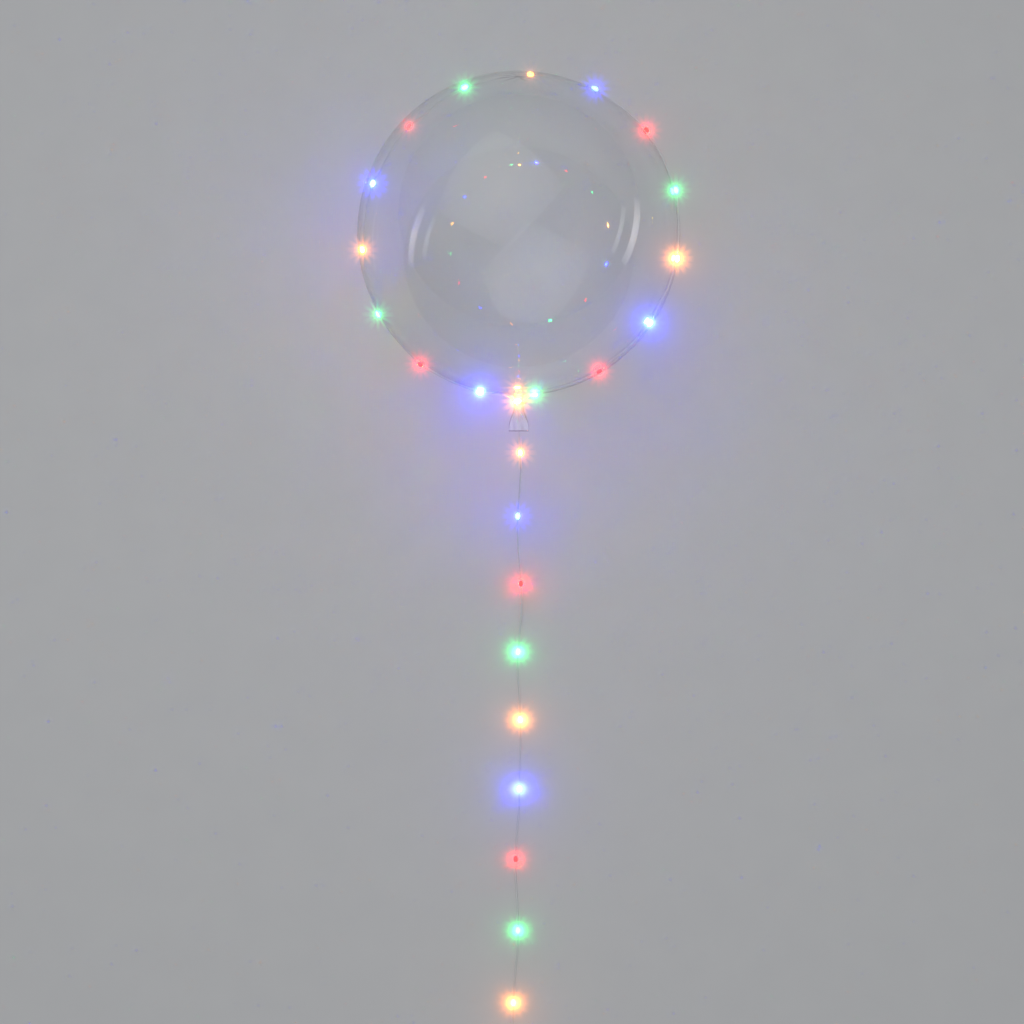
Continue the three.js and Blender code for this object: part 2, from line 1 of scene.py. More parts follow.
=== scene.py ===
"""Looks of a clear bubble balloon with a string of coloured lights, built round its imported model.

The balloon lies on a pale floor on its small flat spot, neck towards -Y. The string comes up its
neck, makes one loop over the film, and trails down to the floor, a coil and a battery box.
Lengths are in millimetres up to the last step, where a piece's mesh is made in metres.
"""

import logging
import math
from dataclasses import dataclass, field
from enum import Enum

import bpy
import numpy as np
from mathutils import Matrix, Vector


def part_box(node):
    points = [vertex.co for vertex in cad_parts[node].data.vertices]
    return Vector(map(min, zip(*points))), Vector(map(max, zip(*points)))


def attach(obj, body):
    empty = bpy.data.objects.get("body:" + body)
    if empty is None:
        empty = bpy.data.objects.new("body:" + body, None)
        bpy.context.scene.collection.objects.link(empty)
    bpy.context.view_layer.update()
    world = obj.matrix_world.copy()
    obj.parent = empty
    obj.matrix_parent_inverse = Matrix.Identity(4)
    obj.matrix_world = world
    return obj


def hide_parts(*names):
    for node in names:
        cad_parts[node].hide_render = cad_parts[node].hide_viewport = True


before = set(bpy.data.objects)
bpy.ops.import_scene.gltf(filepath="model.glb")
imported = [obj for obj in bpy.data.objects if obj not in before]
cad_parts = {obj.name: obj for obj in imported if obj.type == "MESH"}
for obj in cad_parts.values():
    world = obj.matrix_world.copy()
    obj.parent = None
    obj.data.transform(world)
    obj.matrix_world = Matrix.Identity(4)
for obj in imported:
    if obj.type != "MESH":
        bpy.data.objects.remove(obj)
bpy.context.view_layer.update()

log = logging.getLogger("balloon")
MM = 0.001
BODY = "root"

# Balloon film, in the balloon's own axes: its middle at the origin and its crown along +Y.
FILM_RADIUS = 228.6
SPOT_RADIUS = 40.0
CENTRE_HEIGHT = math.sqrt(FILM_RADIUS**2 - SPOT_RADIUS**2)
NECK_DROOP = math.radians(12)
THROAT_RADIUS = 6.5
NECK_RISE = 7.0
THROAT_LENGTH = 10.0
THROAT_TOP = FILM_RADIUS + NECK_RISE
THROAT_END = THROAT_TOP + THROAT_LENGTH
THROAT_MIDDLE = (THROAT_TOP + THROAT_END) / 2
FLAP_LENGTH = 36.0
FLAP_END = THROAT_END + FLAP_LENGTH
NECK_FOOT_RADIUS = 18.0

# String of lights
WIRE_RADIUS = 1.0
DROP_RADIUS = 3.0
DROP_LENGTH = 9.0
DROP_PITCH = 100.0
FIT_GAP = 0.3
DROP_LIFT = DROP_RADIUS + FIT_GAP
WIRE_LIFT = WIRE_RADIUS + FIT_GAP
HALF_SEAT = DROP_LENGTH / 2 + 0.5
LIFT_SPREAD = 24.0
OVER_WIRE = 2 * WIRE_RADIUS + 2 * FIT_GAP

# Where the wire meets the neck: an angle round it, a distance off it and a distance along it.
WIRE_AT_NECK = (-94, 1, THROAT_END + 7)

# Loop over the film. Its ends are lengths along the film from the neck's axis.
LOOP_TURN = math.radians(13.3)
LOOP_RADIUS = FILM_RADIUS + DROP_LIFT
START_FROM_NECK = 22.9
END_FROM_NECK = 57.2
LOOP_START = START_FROM_NECK / LOOP_RADIUS
LOOP_END = 2 * math.pi - END_FROM_NECK / LOOP_RADIUS
LOOP_GAPS = 14
LOOP_WANDER = 4.0
GAP_SHARES = (0.05, 0.2, 0.38, 0.62, 0.8, 0.95)

# Tail. Each point of its way down is a distance aside, a distance out and a share of the start's
# height, and each point of its way along the floor a distance aside and a distance out.
FIRST_DROP_ON_TAIL = 60.0
DROPS_ON_TAIL = 10
DROPS_ON_COIL = 4
COLOUR_ORDER = ("amber", "green", "red", "blue")
FLOOR_RUN_START = 277.0
DROP_ROUTE = (
    (0.9, 22, 0.95),
    (2.3, 44, 0.845),
    (3.2, 66, 0.705),
    (2, 90, 0.556),
    (-0.4, 116, 0.415),
    (-1.3, 145, 0.28),
    (1.2, 176, 0.163),
    (3.9, 209, 0.077),
    (4.3, 243, 0.026),
)
FLOOR_ROUTE = (
    (2, 0),
    (-1.1, 48),
    (1.5, 98),
    (3.2, 148),
    (1.6, 198),
    (1.2, 248),
    (-2.6, 298),
    (-4, 348),
    (-1.4, 398),
    (-1, 448),
    (-5.4, 498),
    (-7.5, 548),
    (-6.2, 598),
    (-5.4, 648),
    (-5, 676),
)

# Coil and lead
COIL_RADIUS = 11.0
COIL_HALF_WIDTH = 4.8
COIL_EDGE = COIL_RADIUS + COIL_HALF_WIDTH + WIRE_RADIUS + FIT_GAP
TIE_HEIGHT = 4.4
LEAD_LENGTH = 40.0
SLEEVE_LENGTH = 9.0
BOX_WALL = 2.0
LEAD_HEIGHT_ON_BOX = 8.0

# Camera: the photograph's view, turned down onto the lying balloon.
IMAGE_SIZE = 1024
CAMERA_ELEVATION = math.radians(72)
CAMERA_DISTANCE = 4.0
CAMERA_TARGET = (-0.0096, -0.3408, 0.0)
FOCAL_PIXELS = 2747.0
SENSOR_WIDTH = 36.0

# Glow of bright points in a lens: a soft one close round them, and short rays.
CLOSE_GLOW = {
    "glare_type": "BLOOM",
    "quality": "HIGH",
    "Threshold": 1.6,
    "Strength": 1.0,
    "Size": 0.5,
    "Maximum": 480.0,
}
RAYS = {
    "glare_type": "STREAKS",
    "quality": "HIGH",
    "Threshold": 4.0,
    "Strength": 0.12,
    "Streaks": 12,
    "Fade": 0.8,
    "Iterations": 2,
}


# Brightness of single lights against the rest, matched to the size of each glow from above.
GLARE_UP = {
    8: 0.7, 9: 1.8, 10: 1.3, 11: 1.4, 12: 0.9, 13: 0.9, 15: 1.3, 17: 5.0, 18: 2.2, 21: 0.8, 23: 2.6,
    25: 8.0, 26: 4.5, 27: 1.5, 29: 5.0, 30: 2.6,
}


class Glow(Enum):
    """Colours of the lit drops: the light they give, as sRGB hex, and how strong it is."""

    AMBER = ("#FFA22E", 28.0)
    GREEN = ("#28E07C", 28.0)
    RED = ("#FF0B0A", 22.0)
    BLUE = ("#1D38FF", 60.0)

    @property
    def colour(self) -> tuple[float, float, float, float]:
        """Linear colour of the light."""
        return srgb(self.value[0])

    @property
    def strength(self) -> float:
        """Strength of the emission."""
        return self.value[1]


def srgb(code: str) -> tuple[float, float, float, float]:
    """Turn an sRGB hex colour into linear RGBA.

    Args:
        code: Colour such as "#AABBCC".

    Returns:
        Linear red, green, blue and 1.
    """
    shares = [int(code[i : i + 2], 16) / 255 for i in (1, 3, 5)]
    linear = [s / 12.92 if s <= 0.04045 else ((s + 0.055) / 1.055) ** 2.4 for s in shares]
    return (*linear, 1.0)


def add_node(
    tree: bpy.types.NodeTree,
    kind: str,
    settings: dict[str, object] | None = None,
    **links: bpy.types.NodeSocket,
) -> bpy.types.Node:
    """Add a node, give it its settings and link its inputs.

    Args:
        tree: Node tree that gets the node.
        kind: Blender's name of the node's type.
        settings: Values by property or input name. An input's name wins over a property's.
        links: Output sockets by input name, with spaces written as underscores.

    Returns:
        The new node.
    """
    node = tree.nodes.new(kind)
    for name, value in (settings or {}).items():
        if name in node.inputs:
            node.inputs[name].default_value = value
        else:
            setattr(node, name, value)
    for name, socket in links.items():
        tree.links.new(socket, node.inputs[name.replace("_", " ")])
    return node


@dataclass(frozen=True)
class Pattern:
    """Uneven pattern in a material, fixed to the piece, and the size of its features."""

    size_mm: float
    detail: float = 2.0
    rough: float = 0.5
    stretch: tuple[float, float, float] = (1.0, 1.0, 1.0)

    def add_to(self, tree: bpy.types.NodeTree) -> bpy.types.NodeSocket:
        """Add the pattern to a material.

        Args:
            tree: Node tree of the material.

        Returns:
            Output that runs from 0 to 1.
        """
        place = add_node(tree, "ShaderNodeTexCoord").outputs["Object"]
        mapping = add_node(tree, "ShaderNodeMapping", {"Scale": self.stretch}, Vector=place)
        settings = {"Scale": 1.0 / (self.size_mm * MM), "Detail": self.detail, "Roughness": self.rough}
        noise = add_node(tree, "ShaderNodeTexNoise", settings, Vector=mapping.outputs["Vector"])
        return noise.outputs["Fac"]


@dataclass(frozen=True)
class Relief:
    """Fine unevenness that a pattern gives the surface."""

    pattern: Pattern
    strength: float
    depth_mm: float


@dataclass(frozen=True)
class Tones:
    """Two colours that a pattern mixes, and the shares of it at which each one is pure."""

    low: str
    high: str
    pattern: Pattern
    ends: tuple[float, float] = (0.0, 1.0)


@dataclass(frozen=True)
class Finish:
    """Material of a piece: plain values on its shader, its relief, its tones and its range of gloss."""

    name: str
    values: dict[str, object]
    relief: Relief | None = None
    tones: Tones | None = None
    roughness: tuple[float, float] | None = None

    def tone_links(self, tree: bpy.types.NodeTree) -> dict[str, bpy.types.NodeSocket]:
        """Add the nodes that mix the tones and the gloss.

        Args:
            tree: Node tree of the material.

        Returns:
            Outputs by the shader's input.
        """
        share = self.tones.pattern.add_to(tree)
        ramp = add_node(tree, "ShaderNodeValToRGB", Fac=share)
        for element, end, tone in zip(
            ramp.color_ramp.elements, self.tones.ends, (self.tones.low, self.tones.high)
        ):
            element.position, element.color = end, srgb(tone)
        links = {"Base_Color": ramp.outputs["Color"]}
        if self.roughness:
            span = dict(zip(("To Min", "To Max"), self.roughness))
            links["Roughness"] = add_node(tree, "ShaderNodeMapRange", span, Value=share).outputs["Result"]
        return links

    def material(self) -> bpy.types.Material:
        """Make the material.

        Returns:
            The material, with one shader on its surface.
        """
        material = bpy.data.materials.new(self.name)
        material.use_nodes = True
        tree = material.node_tree
        tree.nodes.clear()
        links = self.tone_links(tree) if self.tones else {}
        if self.relief:
            depth = {"Strength": self.relief.strength, "Distance": self.relief.depth_mm * MM}
            bump = add_node(tree, "ShaderNodeBump", depth, Height=self.relief.pattern.add_to(tree))
            links["Normal"] = bump.outputs["Normal"]
        shader = add_node(tree, "ShaderNodeBsdfPrincipled", self.values, **links)
        add_node(tree, "ShaderNodeOutputMaterial", Surface=shader.outputs[0])
        return material


# Blown clear film. Its gloss gives sharp small highlights, and its faint stretch lines waver them.
CLEAR_FILM = Finish(
    "clear_film_stretched",
    {"Base Color": srgb("#FCFDFE"), "Roughness": 0.02, "IOR": 1.48, "Transmission Weight": 1.0},
    Relief(Pattern(38.0, 3.0, 0.45, (1.0, 0.35, 1.0)), 0.35, 0.12),
)

# Drawn clear insulation. It is glossy and a little milky, so the conductors show grey through it.
CLEAR_INSULATION = Finish(
    "clear_insulation_drawn",
    {"Base Color": srgb("#F6F7F8"), "Roughness": 0.12, "IOR": 1.5, "Transmission Weight": 0.45},
    Relief(Pattern(3.0), 0.3, 0.05),
)

# Tinned stranded copper. Its fine lay gives a broken silver-grey gloss.
TINNED_COPPER = Finish(
    "tinned_copper_stranded",
    {"Roughness": 0.34, "Metallic": 1.0},
    Relief(Pattern(1.5, 3.0), 0.5, 0.05),
    Tones("#C8CACD", "#E4E5E7", Pattern(1.5, 3.0)),
)

# Moulded plastics. Their spark texture spreads the gloss, and their tone drifts a little with handling.
HANDLING = Pattern(14.0, 5.0)
HANDLED_SHARES = (0.35, 0.65)
WHITE_ABS = Finish(
    "white_abs_moulded",
    {"IOR": 1.52},
    Relief(Pattern(0.5), 0.6, 0.03),
    Tones("#E1DFD8", "#E9E8E3", HANDLING, HANDLED_SHARES),
    (0.38, 0.5),
)
SOFT_VINYL = Finish(
    "soft_vinyl_moulded",
    {"IOR": 1.52},
    Relief(Pattern(0.9), 0.6, 0.04),
    Tones("#D3D5D7", "#DEDFE0", HANDLING, HANDLED_SHARES),
    (0.42, 0.55),
)
TIE_COAT = Finish(
    "tie_plastic_coated",
    {"IOR": 1.52},
    Relief(Pattern(0.4), 0.6, 0.05),
    Tones("#E4E4E0", "#F2F2F0", HANDLING, HANDLED_SHARES),
    (0.5, 0.65),
)

# Turned and zinc-plated steel. Fine turning marks draw the highlight out, with dull flecks in it.
ZINC_STEEL = Finish(
    "zinc_steel_plated",
    {"Roughness": 0.33, "Metallic": 1.0},
    Relief(Pattern(0.25), 0.4, 0.03),
    Tones("#8E9196", "#C9CACC", Pattern(0.8, 4.0), (0.3, 0.6)),
)

# Seamless matte paper. Its faint fibre tone keeps the floor from looking empty.
STUDIO_PAPER = Finish(
    "studio_paper_matte",
    {"Roughness": 0.85, "Specular IOR Level": 0.2},
    tones=Tones("#CACACA", "#CFCFCE", Pattern(60.0, 6.0)),
)


def lit_resin(glow: Glow, gain: float) -> Finish:
    """Clear resin, cast by hand over its diode. Lit, it glows in its colour all through.

    Args:
        glow: Colour and strength of the light.
        gain: Brightness of this light against the rest.

    Returns:
        The finish.
    """
    values = {
        "Base Color": glow.colour,
        "Roughness": 0.08,
        "IOR": 1.5,
        "Transmission Weight": 0.6,
        "Emission Color": glow.colour,
        "Emission Strength": glow.strength * gain,
    }
    name = f"lit_resin_{glow.name.lower()}_cast_{gain:.1f}"
    return Finish(name, values, Relief(Pattern(2.4), 0.4, 0.2))


def smooth(low: float, high: float, value: np.ndarray | float) -> np.ndarray:
    """Smooth step from 0 at low to 1 at high.

    Args:
        low: Value at which the step starts.
        high: Value at which it ends.
        value: Value or values to place on it.

    Returns:
        Shares from 0 to 1.
    """
    share = np.clip((np.asarray(value, float) - low) / (high - low), 0, 1)
    return share * share * (3 - 2 * share)


def lie(points: np.ndarray) -> np.ndarray:
    """Take points from the balloon's own axes to the frame of the part.

    Args:
        points: Points in millimetres, one a row.

    Returns:
        The points in the frame of the part, in millimetres.
    """
    x, y, z = np.moveaxis(np.asarray(points, float), -1, 0)
    cos, sin = math.cos(NECK_DROOP), math.sin(NECK_DROOP)
    return np.stack([x, y * cos - z * sin, y * sin + z * cos + CENTRE_HEIGHT], -1)


def make_piece(
    name: str,
    points: np.ndarray,
    faces: list[tuple[int, ...]],
    materials: list[bpy.types.Material],
    face_materials: np.ndarray | None = None,
) -> bpy.types.Object:
    """Make a smooth-shaded mesh object from points in millimetres.

    Args:
        name: Name of the object and its mesh.
        points: Points in the frame of the part, in millimetres.
        faces: Corners of each face, seen from outside in anticlockwise order.
        materials: Materials of the mesh.
        face_materials: Index of each face's material, or None for the first.

    Returns:
        The linked object.
    """
    mesh = bpy.data.meshes.new(name)
    mesh.from_pydata((np.asarray(points) * MM).tolist(), [], [tuple(map(int, f)) for f in faces])
    for material in materials:
        mesh.materials.append(material)
    mesh.polygons.foreach_set("use_smooth", [True] * len(mesh.polygons))
    if face_materials is not None:
        mesh.polygons.foreach_set("material_index", np.asarray(face_materials, np.int32))
    mesh.validate()
    mesh.update()
    piece = bpy.data.objects.new(name, mesh)
    bpy.context.scene.collection.objects.link(piece)
    return piece


def grid_faces(
    rows: int, columns: int, first: int = 0, flip: bool = False, ring: bool = False
) -> list[tuple[int, ...]]:
    """Quads of a grid whose columns close round on themselves.

    Args:
        rows: Number of rows of points.
        columns: Number of points in each row.
        first: Index of the first point.
        flip: True to turn the faces over.
        ring: True to join the last row to the first as well.

    Returns:
        Corners of each quad.
    """
    row, column = np.meshgrid(np.arange(rows if ring else rows - 1), np.arange(columns), indexing="ij")
    after = (column + 1) % columns
    here, there = row * columns, (row + 1) % rows * columns
    quads = np.stack([here + column, there + column, there + after, here + after], -1)
    quads = quads.reshape(-1, 4) + first
    return [tuple(q) for q in (quads[:, ::-1] if flip else quads)]


def curve_through(points: np.ndarray, step: float) -> np.ndarray:
    """Sample a centripetal Catmull-Rom curve through points at even distances.

    Args:
        points: Points that the curve passes.
        step: Wanted distance between samples, in millimetres.

    Returns:
        Samples from the first point to the last.
    """
    points = np.asarray(points, float)
    ends = (2 * points[0] - points[1], 2 * points[-1] - points[-2])
    padded = np.vstack([ends[0], points, ends[1]])
    pieces = []
    for i in range(len(points) - 1):
        p0, p1, p2, p3 = padded[i : i + 4]
        pairs = ((p0, p1), (p1, p2), (p2, p3))
        d0, d1, d2 = (max(np.linalg.norm(b - a) ** 0.5, 1e-4) for a, b in pairs)
        t1 = ((p1 - p0) / d0 - (p2 - p0) / (d0 + d1) + (p2 - p1) / d1) * d1
        t2 = ((p2 - p1) / d1 - (p3 - p1) / (d1 + d2) + (p3 - p2) / d2) * d1
        t = np.linspace(0, 1, 40, endpoint=False)[:, None]
        pieces.append(
            p1
            + t1 * t
            + (-3 * p1 + 3 * p2 - 2 * t1 - t2) * t**2
            + (2 * p1 - 2 * p2 + t1 + t2) * t**3
        )
    return even_steps(np.vstack([*pieces, points[-1:]]), step)


def distances_along(points: np.ndarray) -> np.ndarray:
    """Distance of each point from the first, along the line through them."""
    return np.concatenate([[0], np.cumsum(np.linalg.norm(np.diff(points, axis=0), axis=1))])


def even_steps(points: np.ndarray, step: float) -> np.ndarray:
    """Sample a line of points at even distances.

    Args:
        points: Points of the line.
        step: Wanted distance between samples.

    Returns:
        Samples from the first point to the last.
    """
    along = distances_along(points)
    stations = np.linspace(0, along[-1], max(2, round(along[-1] / step) + 1))
    return np.stack([np.interp(stations, along, points[:, axis]) for axis in range(3)], 1)


def line_frames(line: np.ndarray) -> tuple[np.ndarray, np.ndarray, np.ndarray]:
    """Directions along a line and across it that don't twist.

    Args:
        line: Points of the line.

    Returns:
        Tangents and two unit normals at each point.
    """
    tangents = np.gradient(line, axis=0)
    tangents /= np.linalg.norm(tangents, axis=1)[:, None]
    seed = np.cross(tangents[0], (0.3, 0.1, 0.95))
    sides = [seed / np.linalg.norm(seed)]
    for tangent in tangents[1:]:
        side = sides[-1] - tangent * np.dot(sides[-1], tangent)
        sides.append(side / np.linalg.norm(side))
    first = np.array(sides)
    return tangents, first, np.cross(tangents, first)


@dataclass
class MeshParts:
    """Points and faces of several closed shells that make one mesh."""

    points: list[np.ndarray] = field(default_factory=list)
    faces: list[tuple[int, ...]] = field(default_factory=list)
    materials: list[int] = field(default_factory=list)
    count: int = 0

    def add(self, points: np.ndarray, faces: list[tuple[int, ...]], material: int = 0) -> None:
        """Add a shell.

        Args:
            points: Its points.
            faces: Its faces, counted from its own first point.
            material: Index of its material.
        """
        self.faces.extend(tuple(int(i) + self.count for i in face) for face in faces)
        self.materials.extend([material] * len(faces))
        self.points.append(np.asarray(points, float))
        self.count += len(points)

    def add_tube(
        self,
        line: np.ndarray,
        radius: float,
        sides: int,
        material: int = 0,
        aside: tuple[float, float] = (0, 0),
        twist: float = 0.0,
    ) -> None:
        """Add a round tube with closed ends along a line.

        Args:
            line: Centre line in millimetres.
            radius: Radius of the tube.
            sides: Number of points round it.
            material: Index of its material.
            aside: Distance of the tube from the line, and its angle at the start.
            twist: Turn of that angle for each millimetre of line.
        """
        _, first, second = line_frames(line)
        turned = aside[1] + twist * distances_along(line)
        centre = line + aside[0] * (first * np.cos(turned)[:, None] + second * np.sin(turned)[:, None])
        angles = np.linspace(0, 2 * np.pi, sides, endpoint=False)[None, :, None]
        ring = first[:, None] * np.cos(angles) + second[:, None] * np.sin(angles)
        points = (centre[:, None] + radius * ring).reshape(-1, 3)
        last = (len(line) - 1) * sides
        ends = [tuple(reversed(range(sides))), tuple(range(last, last + sides))]
        self.add(points, grid_faces(len(line), sides, flip=True) + ends, material)

    def make(self, name: str, materials: list[bpy.types.Material]) -> bpy.types.Object:
        """Make the object.

        Args:
            name: Name of the object.
            materials: Its materials.

        Returns:
            The linked object.
        """
        return make_piece(name, np.vstack(self.points), self.faces, materials, self.materials)


@dataclass
class Studio:
    """Camera, floor, soft lights and the glow that a lens gives round the lit drops."""

    key_size: float = 3.2
    key_height: float = 2.6
    key_radiance: float = 0.9
    key_spread: float = 100.0
    bar_radiance: float = 2.6
    high_bar_share: float = 0.6
    bar_spread: float = 44.0
    ceiling_grey: str = "#B8BABD"
    horizon_grey: str = "#7A7C80"
    grey_ends: tuple[float, float] = (0.05, 0.75)

    def make_camera(self) -> None:
        """Place the camera at the photograph's view."""
        data = bpy.data.cameras.new("photo_view")
        data.sensor_fit = "HORIZONTAL"
        data.sensor_width = SENSOR_WIDTH
        data.lens = FOCAL_PIXELS / IMAGE_SIZE * SENSOR_WIDTH
        data.clip_start, data.clip_end = 0.05, 100.0
        camera = bpy.data.objects.new("photo_view", data)
        back = Vector((0.0, -math.cos(CAMERA_ELEVATION), math.sin(CAMERA_ELEVATION)))
        camera.location = Vector(CAMERA_TARGET) + back * CAMERA_DISTANCE
        camera.rotation_euler = (-back).to_track_quat("-Z", "Y").to_euler()
        bpy.context.scene.collection.objects.link(camera)
        bpy.context.scene.camera = camera

    def make_floor(self) -> None:
        """Lay the pale floor."""
        half = 15000.0
        corners = np.array([[-half, -half, 0], [half, -half, 0], [half, half, 0], [-half, half, 0]])
        floor = make_piece("studio_floor", corners, [(0, 1, 2, 3)], [STUDIO_PAPER.material()])

    def add_area(
        self,
        name: str,
        place: tuple[float, float, float],
        target: tuple[float, float, float],
        size: tuple[float, float],
        radiance: float,
        spread: float,
    ) -> None:
        """Add a soft rectangular light that the camera doesn't see.

        Args:
            name: Name of the light.
            place: Its middle, in metres.
            target: Point that it faces.
            size: Its two sides, in metres.
            radiance: Brightness of its face, seen along its beam.
            spread: Width of its beam, in degrees.
        """
        half = math.radians(spread / 2)
        narrowing = math.tan(half) / (math.tan(half) - half)
        data = bpy.data.lights.new(name, "AREA")
        data.shape = "RECTANGLE"
        data.size, data.size_y = size
        data.energy = radiance / narrowing * math.pi * size[0] * size[1]
        data.spread = math.radians(spread)
        lamp = bpy.data.objects.new(name, data)
        lamp.location = place
        lamp.rotation_euler = (Vector(target) - Vector(place)).to_track_quat("-Z", "Y").to_euler()
        lamp.visible_camera = False
        bpy.context.scene.collection.objects.link(lamp)

    def make_lights(self) -> None:
        """Hang the soft key light and stand the two strips."""
        above, floor_middle = (-0.6, 0.3, self.key_height), (0.0, -0.2, 0.0)
        size = (self.key_size, self.key_size)
        self.add_area("key_softbox", above, floor_middle, size, self.key_radiance, self.key_spread)
        film_middle = (0.0, 0.0, CENTRE_HEIGHT * MM)
        low, high = self.bar_radiance, self.bar_radiance * self.high_bar_share
        for name, place, size, radiance in (
            ("low_strip", (3.0, -0.05, 0.42), (1.9, 0.3), low),
            ("high_strip", (3.0, -0.26, 1.1), (1.5, 0.2), high),
        ):
            self.add_area(name, place, film_middle, size, radiance, self.bar_spread)

    def make_room(self) -> None:
        """Set the room's grey, darker at the horizon than above."""
        world = bpy.data.worlds.new("studio_room")
        world.use_nodes = True
        tree = world.node_tree
        place = add_node(tree, "ShaderNodeTexCoord")
        height = add_node(tree, "ShaderNodeSeparateXYZ", Vector=place.outputs["Generated"])
        ramp = add_node(tree, "ShaderNodeValToRGB", Fac=height.outputs["Z"])
        ramp.color_ramp.interpolation = "EASE"
        greys = (self.horizon_grey, self.ceiling_grey)
        for element, end, grey in zip(ramp.color_ramp.elements, self.grey_ends, greys):
            element.position, element.color = end, srgb(grey)
        tree.links.new(ramp.outputs["Color"], tree.nodes["Background"].inputs["Color"])
        bpy.context.scene.world = world

    def make_glow(self) -> None:
        """Add the glow of bright points in a lens, and let the film keep what it mirrors and shows."""
        scene = bpy.context.scene
        scene.use_nodes = True
        tree = scene.node_tree
        tree.nodes.clear()
        layers = add_node(tree, "CompositorNodeRLayers")
        close = add_node(tree, "CompositorNodeGlare", CLOSE_GLOW, Image=layers.outputs["Image"])
        rays = add_node(tree, "CompositorNodeGlare", RAYS, Image=close.outputs["Image"])
        add_node(tree, "CompositorNodeComposite", Image=rays.outputs["Image"])
        scene.view_settings.view_transform = "Standard"
        scene.cycles.blur_glossy = 0.0
        scene.cycles.sample_clamp_indirect = 80.0

    def make(self) -> None:
        """Make the whole studio."""
        self.make_camera()
        self.make_floor()
        self.make_lights()
        self.make_room()
        self.make_glow()
        log.info("studio made")


@dataclass
class Settling:
    """Moves a wound line apart until its turns and drops clear one another, the tie and the floor."""

    centre: np.ndarray
    rounds: int = 420
    rounds_unsmoothed: int = 30
    gap: float = 0.1
    room_at_drop: tuple[float, float] = (0.4, 0.1)
    own_stretch: float = 13.0
    push: float = 0.3
    settled_lift: float = 4.0
    neighbour_share: float = 0.22
    own_share: float = 0.56
    tie_half_width: float = 3.6
    tie_inside: tuple[float, float] = (4.1, 2.7)
    tie_reach: float = 20.0

    def thickness(self, along: np.ndarray, drops: np.ndarray) -> np.ndarray:
        """Radius of what lies at each point of the line, the wire or a drop.

        Args:
            along: Distance of each point along the line.
            drops: Distances of the drops along it.

        Returns:
            Radius at each point.
        """
        more_along, more_out = self.room_at_drop
        near = np.abs(along[:, None] - drops[None]).min(axis=1) / (DROP_LENGTH / 2 + more_along)
        return np.maximum(WIRE_RADIUS, (DROP_RADIUS + more_out) * np.sqrt(np.clip(1 - near**2, 0, 1)))

    def tied(self, line: np.ndarray) -> np.ndarray:
        """Bring the turns that pass through the tie inside its band.

        Args:
            line: Points of the line.

        Returns:
            The moved points.
        """
        x, y = line[:, 0] - self.centre[0], line[:, 1] - self.centre[1]
        away = np.hypot(x, y)
        inside = (np.abs(x) < self.tie_half_width) & (y > 0) & (away < self.tie_reach)
        out, up = away - COIL_RADIUS, line[:, 2] - TIE_HEIGHT
        over = np.hypot(out / self.tie_inside[0], up / self.tie_inside[1])
        share = np.where(inside & (over > 1), 1 / np.maximum(over, 1e-6), 1.0)
        moved = line.copy()
        scale = (COIL_RADIUS + out * share) / np.maximum(away, 1e-6)
        moved[:, 0], moved[:, 1] = self.centre[0] + x * scale, self.centre[1] + y * scale
        moved[:, 2] = TIE_HEIGHT + up * share
        return moved

    def settle(self, line: np.ndarray, drops: np.ndarray, free: np.ndarray) -> np.ndarray:
        """Settle the line.

        Args:
            line: Points of the line.
            drops: Distances of the drops along it.
            free: How freely each point moves, from 0 to 1.

        Returns:
            The settled line.
        """
        along = distances_along(line)
        kept = np.flatnonzero(free > 0)
        start, thick, ease = line[kept], self.thickness(along, drops)[kept], free[kept, None]
        apart = np.abs(along[kept][:, None] - along[kept][None]) > self.own_stretch
        need = thick[:, None] + thick[None] + self.gap
        lowest = np.minimum(thick, start[:, 2] + self.settled_lift * ease[:, 0])
        points = start.copy()
        for turn in range(self.rounds):
            gaps = points[:, None] - points[None]
            far = np.linalg.norm(gaps, axis=2) + 1e-9
            short = np.where(apart & (far < need), need - far, 0)
            points = points + ease * self.push * (gaps / far[..., None] * short[..., None]).sum(axis=1)
            points = start + ease * (self.tied(points) - start)
            points[:, 2] = np.maximum(points[:, 2], lowest)
            if turn < self.rounds - self.rounds_unsmoothed:
                moved = points - start
                beside = self.neighbour_share * (moved[:-2] + moved[2:])
                moved[1:-1] = beside + self.own_share * moved[1:-1]
                points = start + moved
        least = float(np.where(apart, far - need, 9).min() + self.gap)
        log.info("coil settled, least clearance %.2f mm", least)
        settled = line.copy()
        settled[kept] = points
        return settled


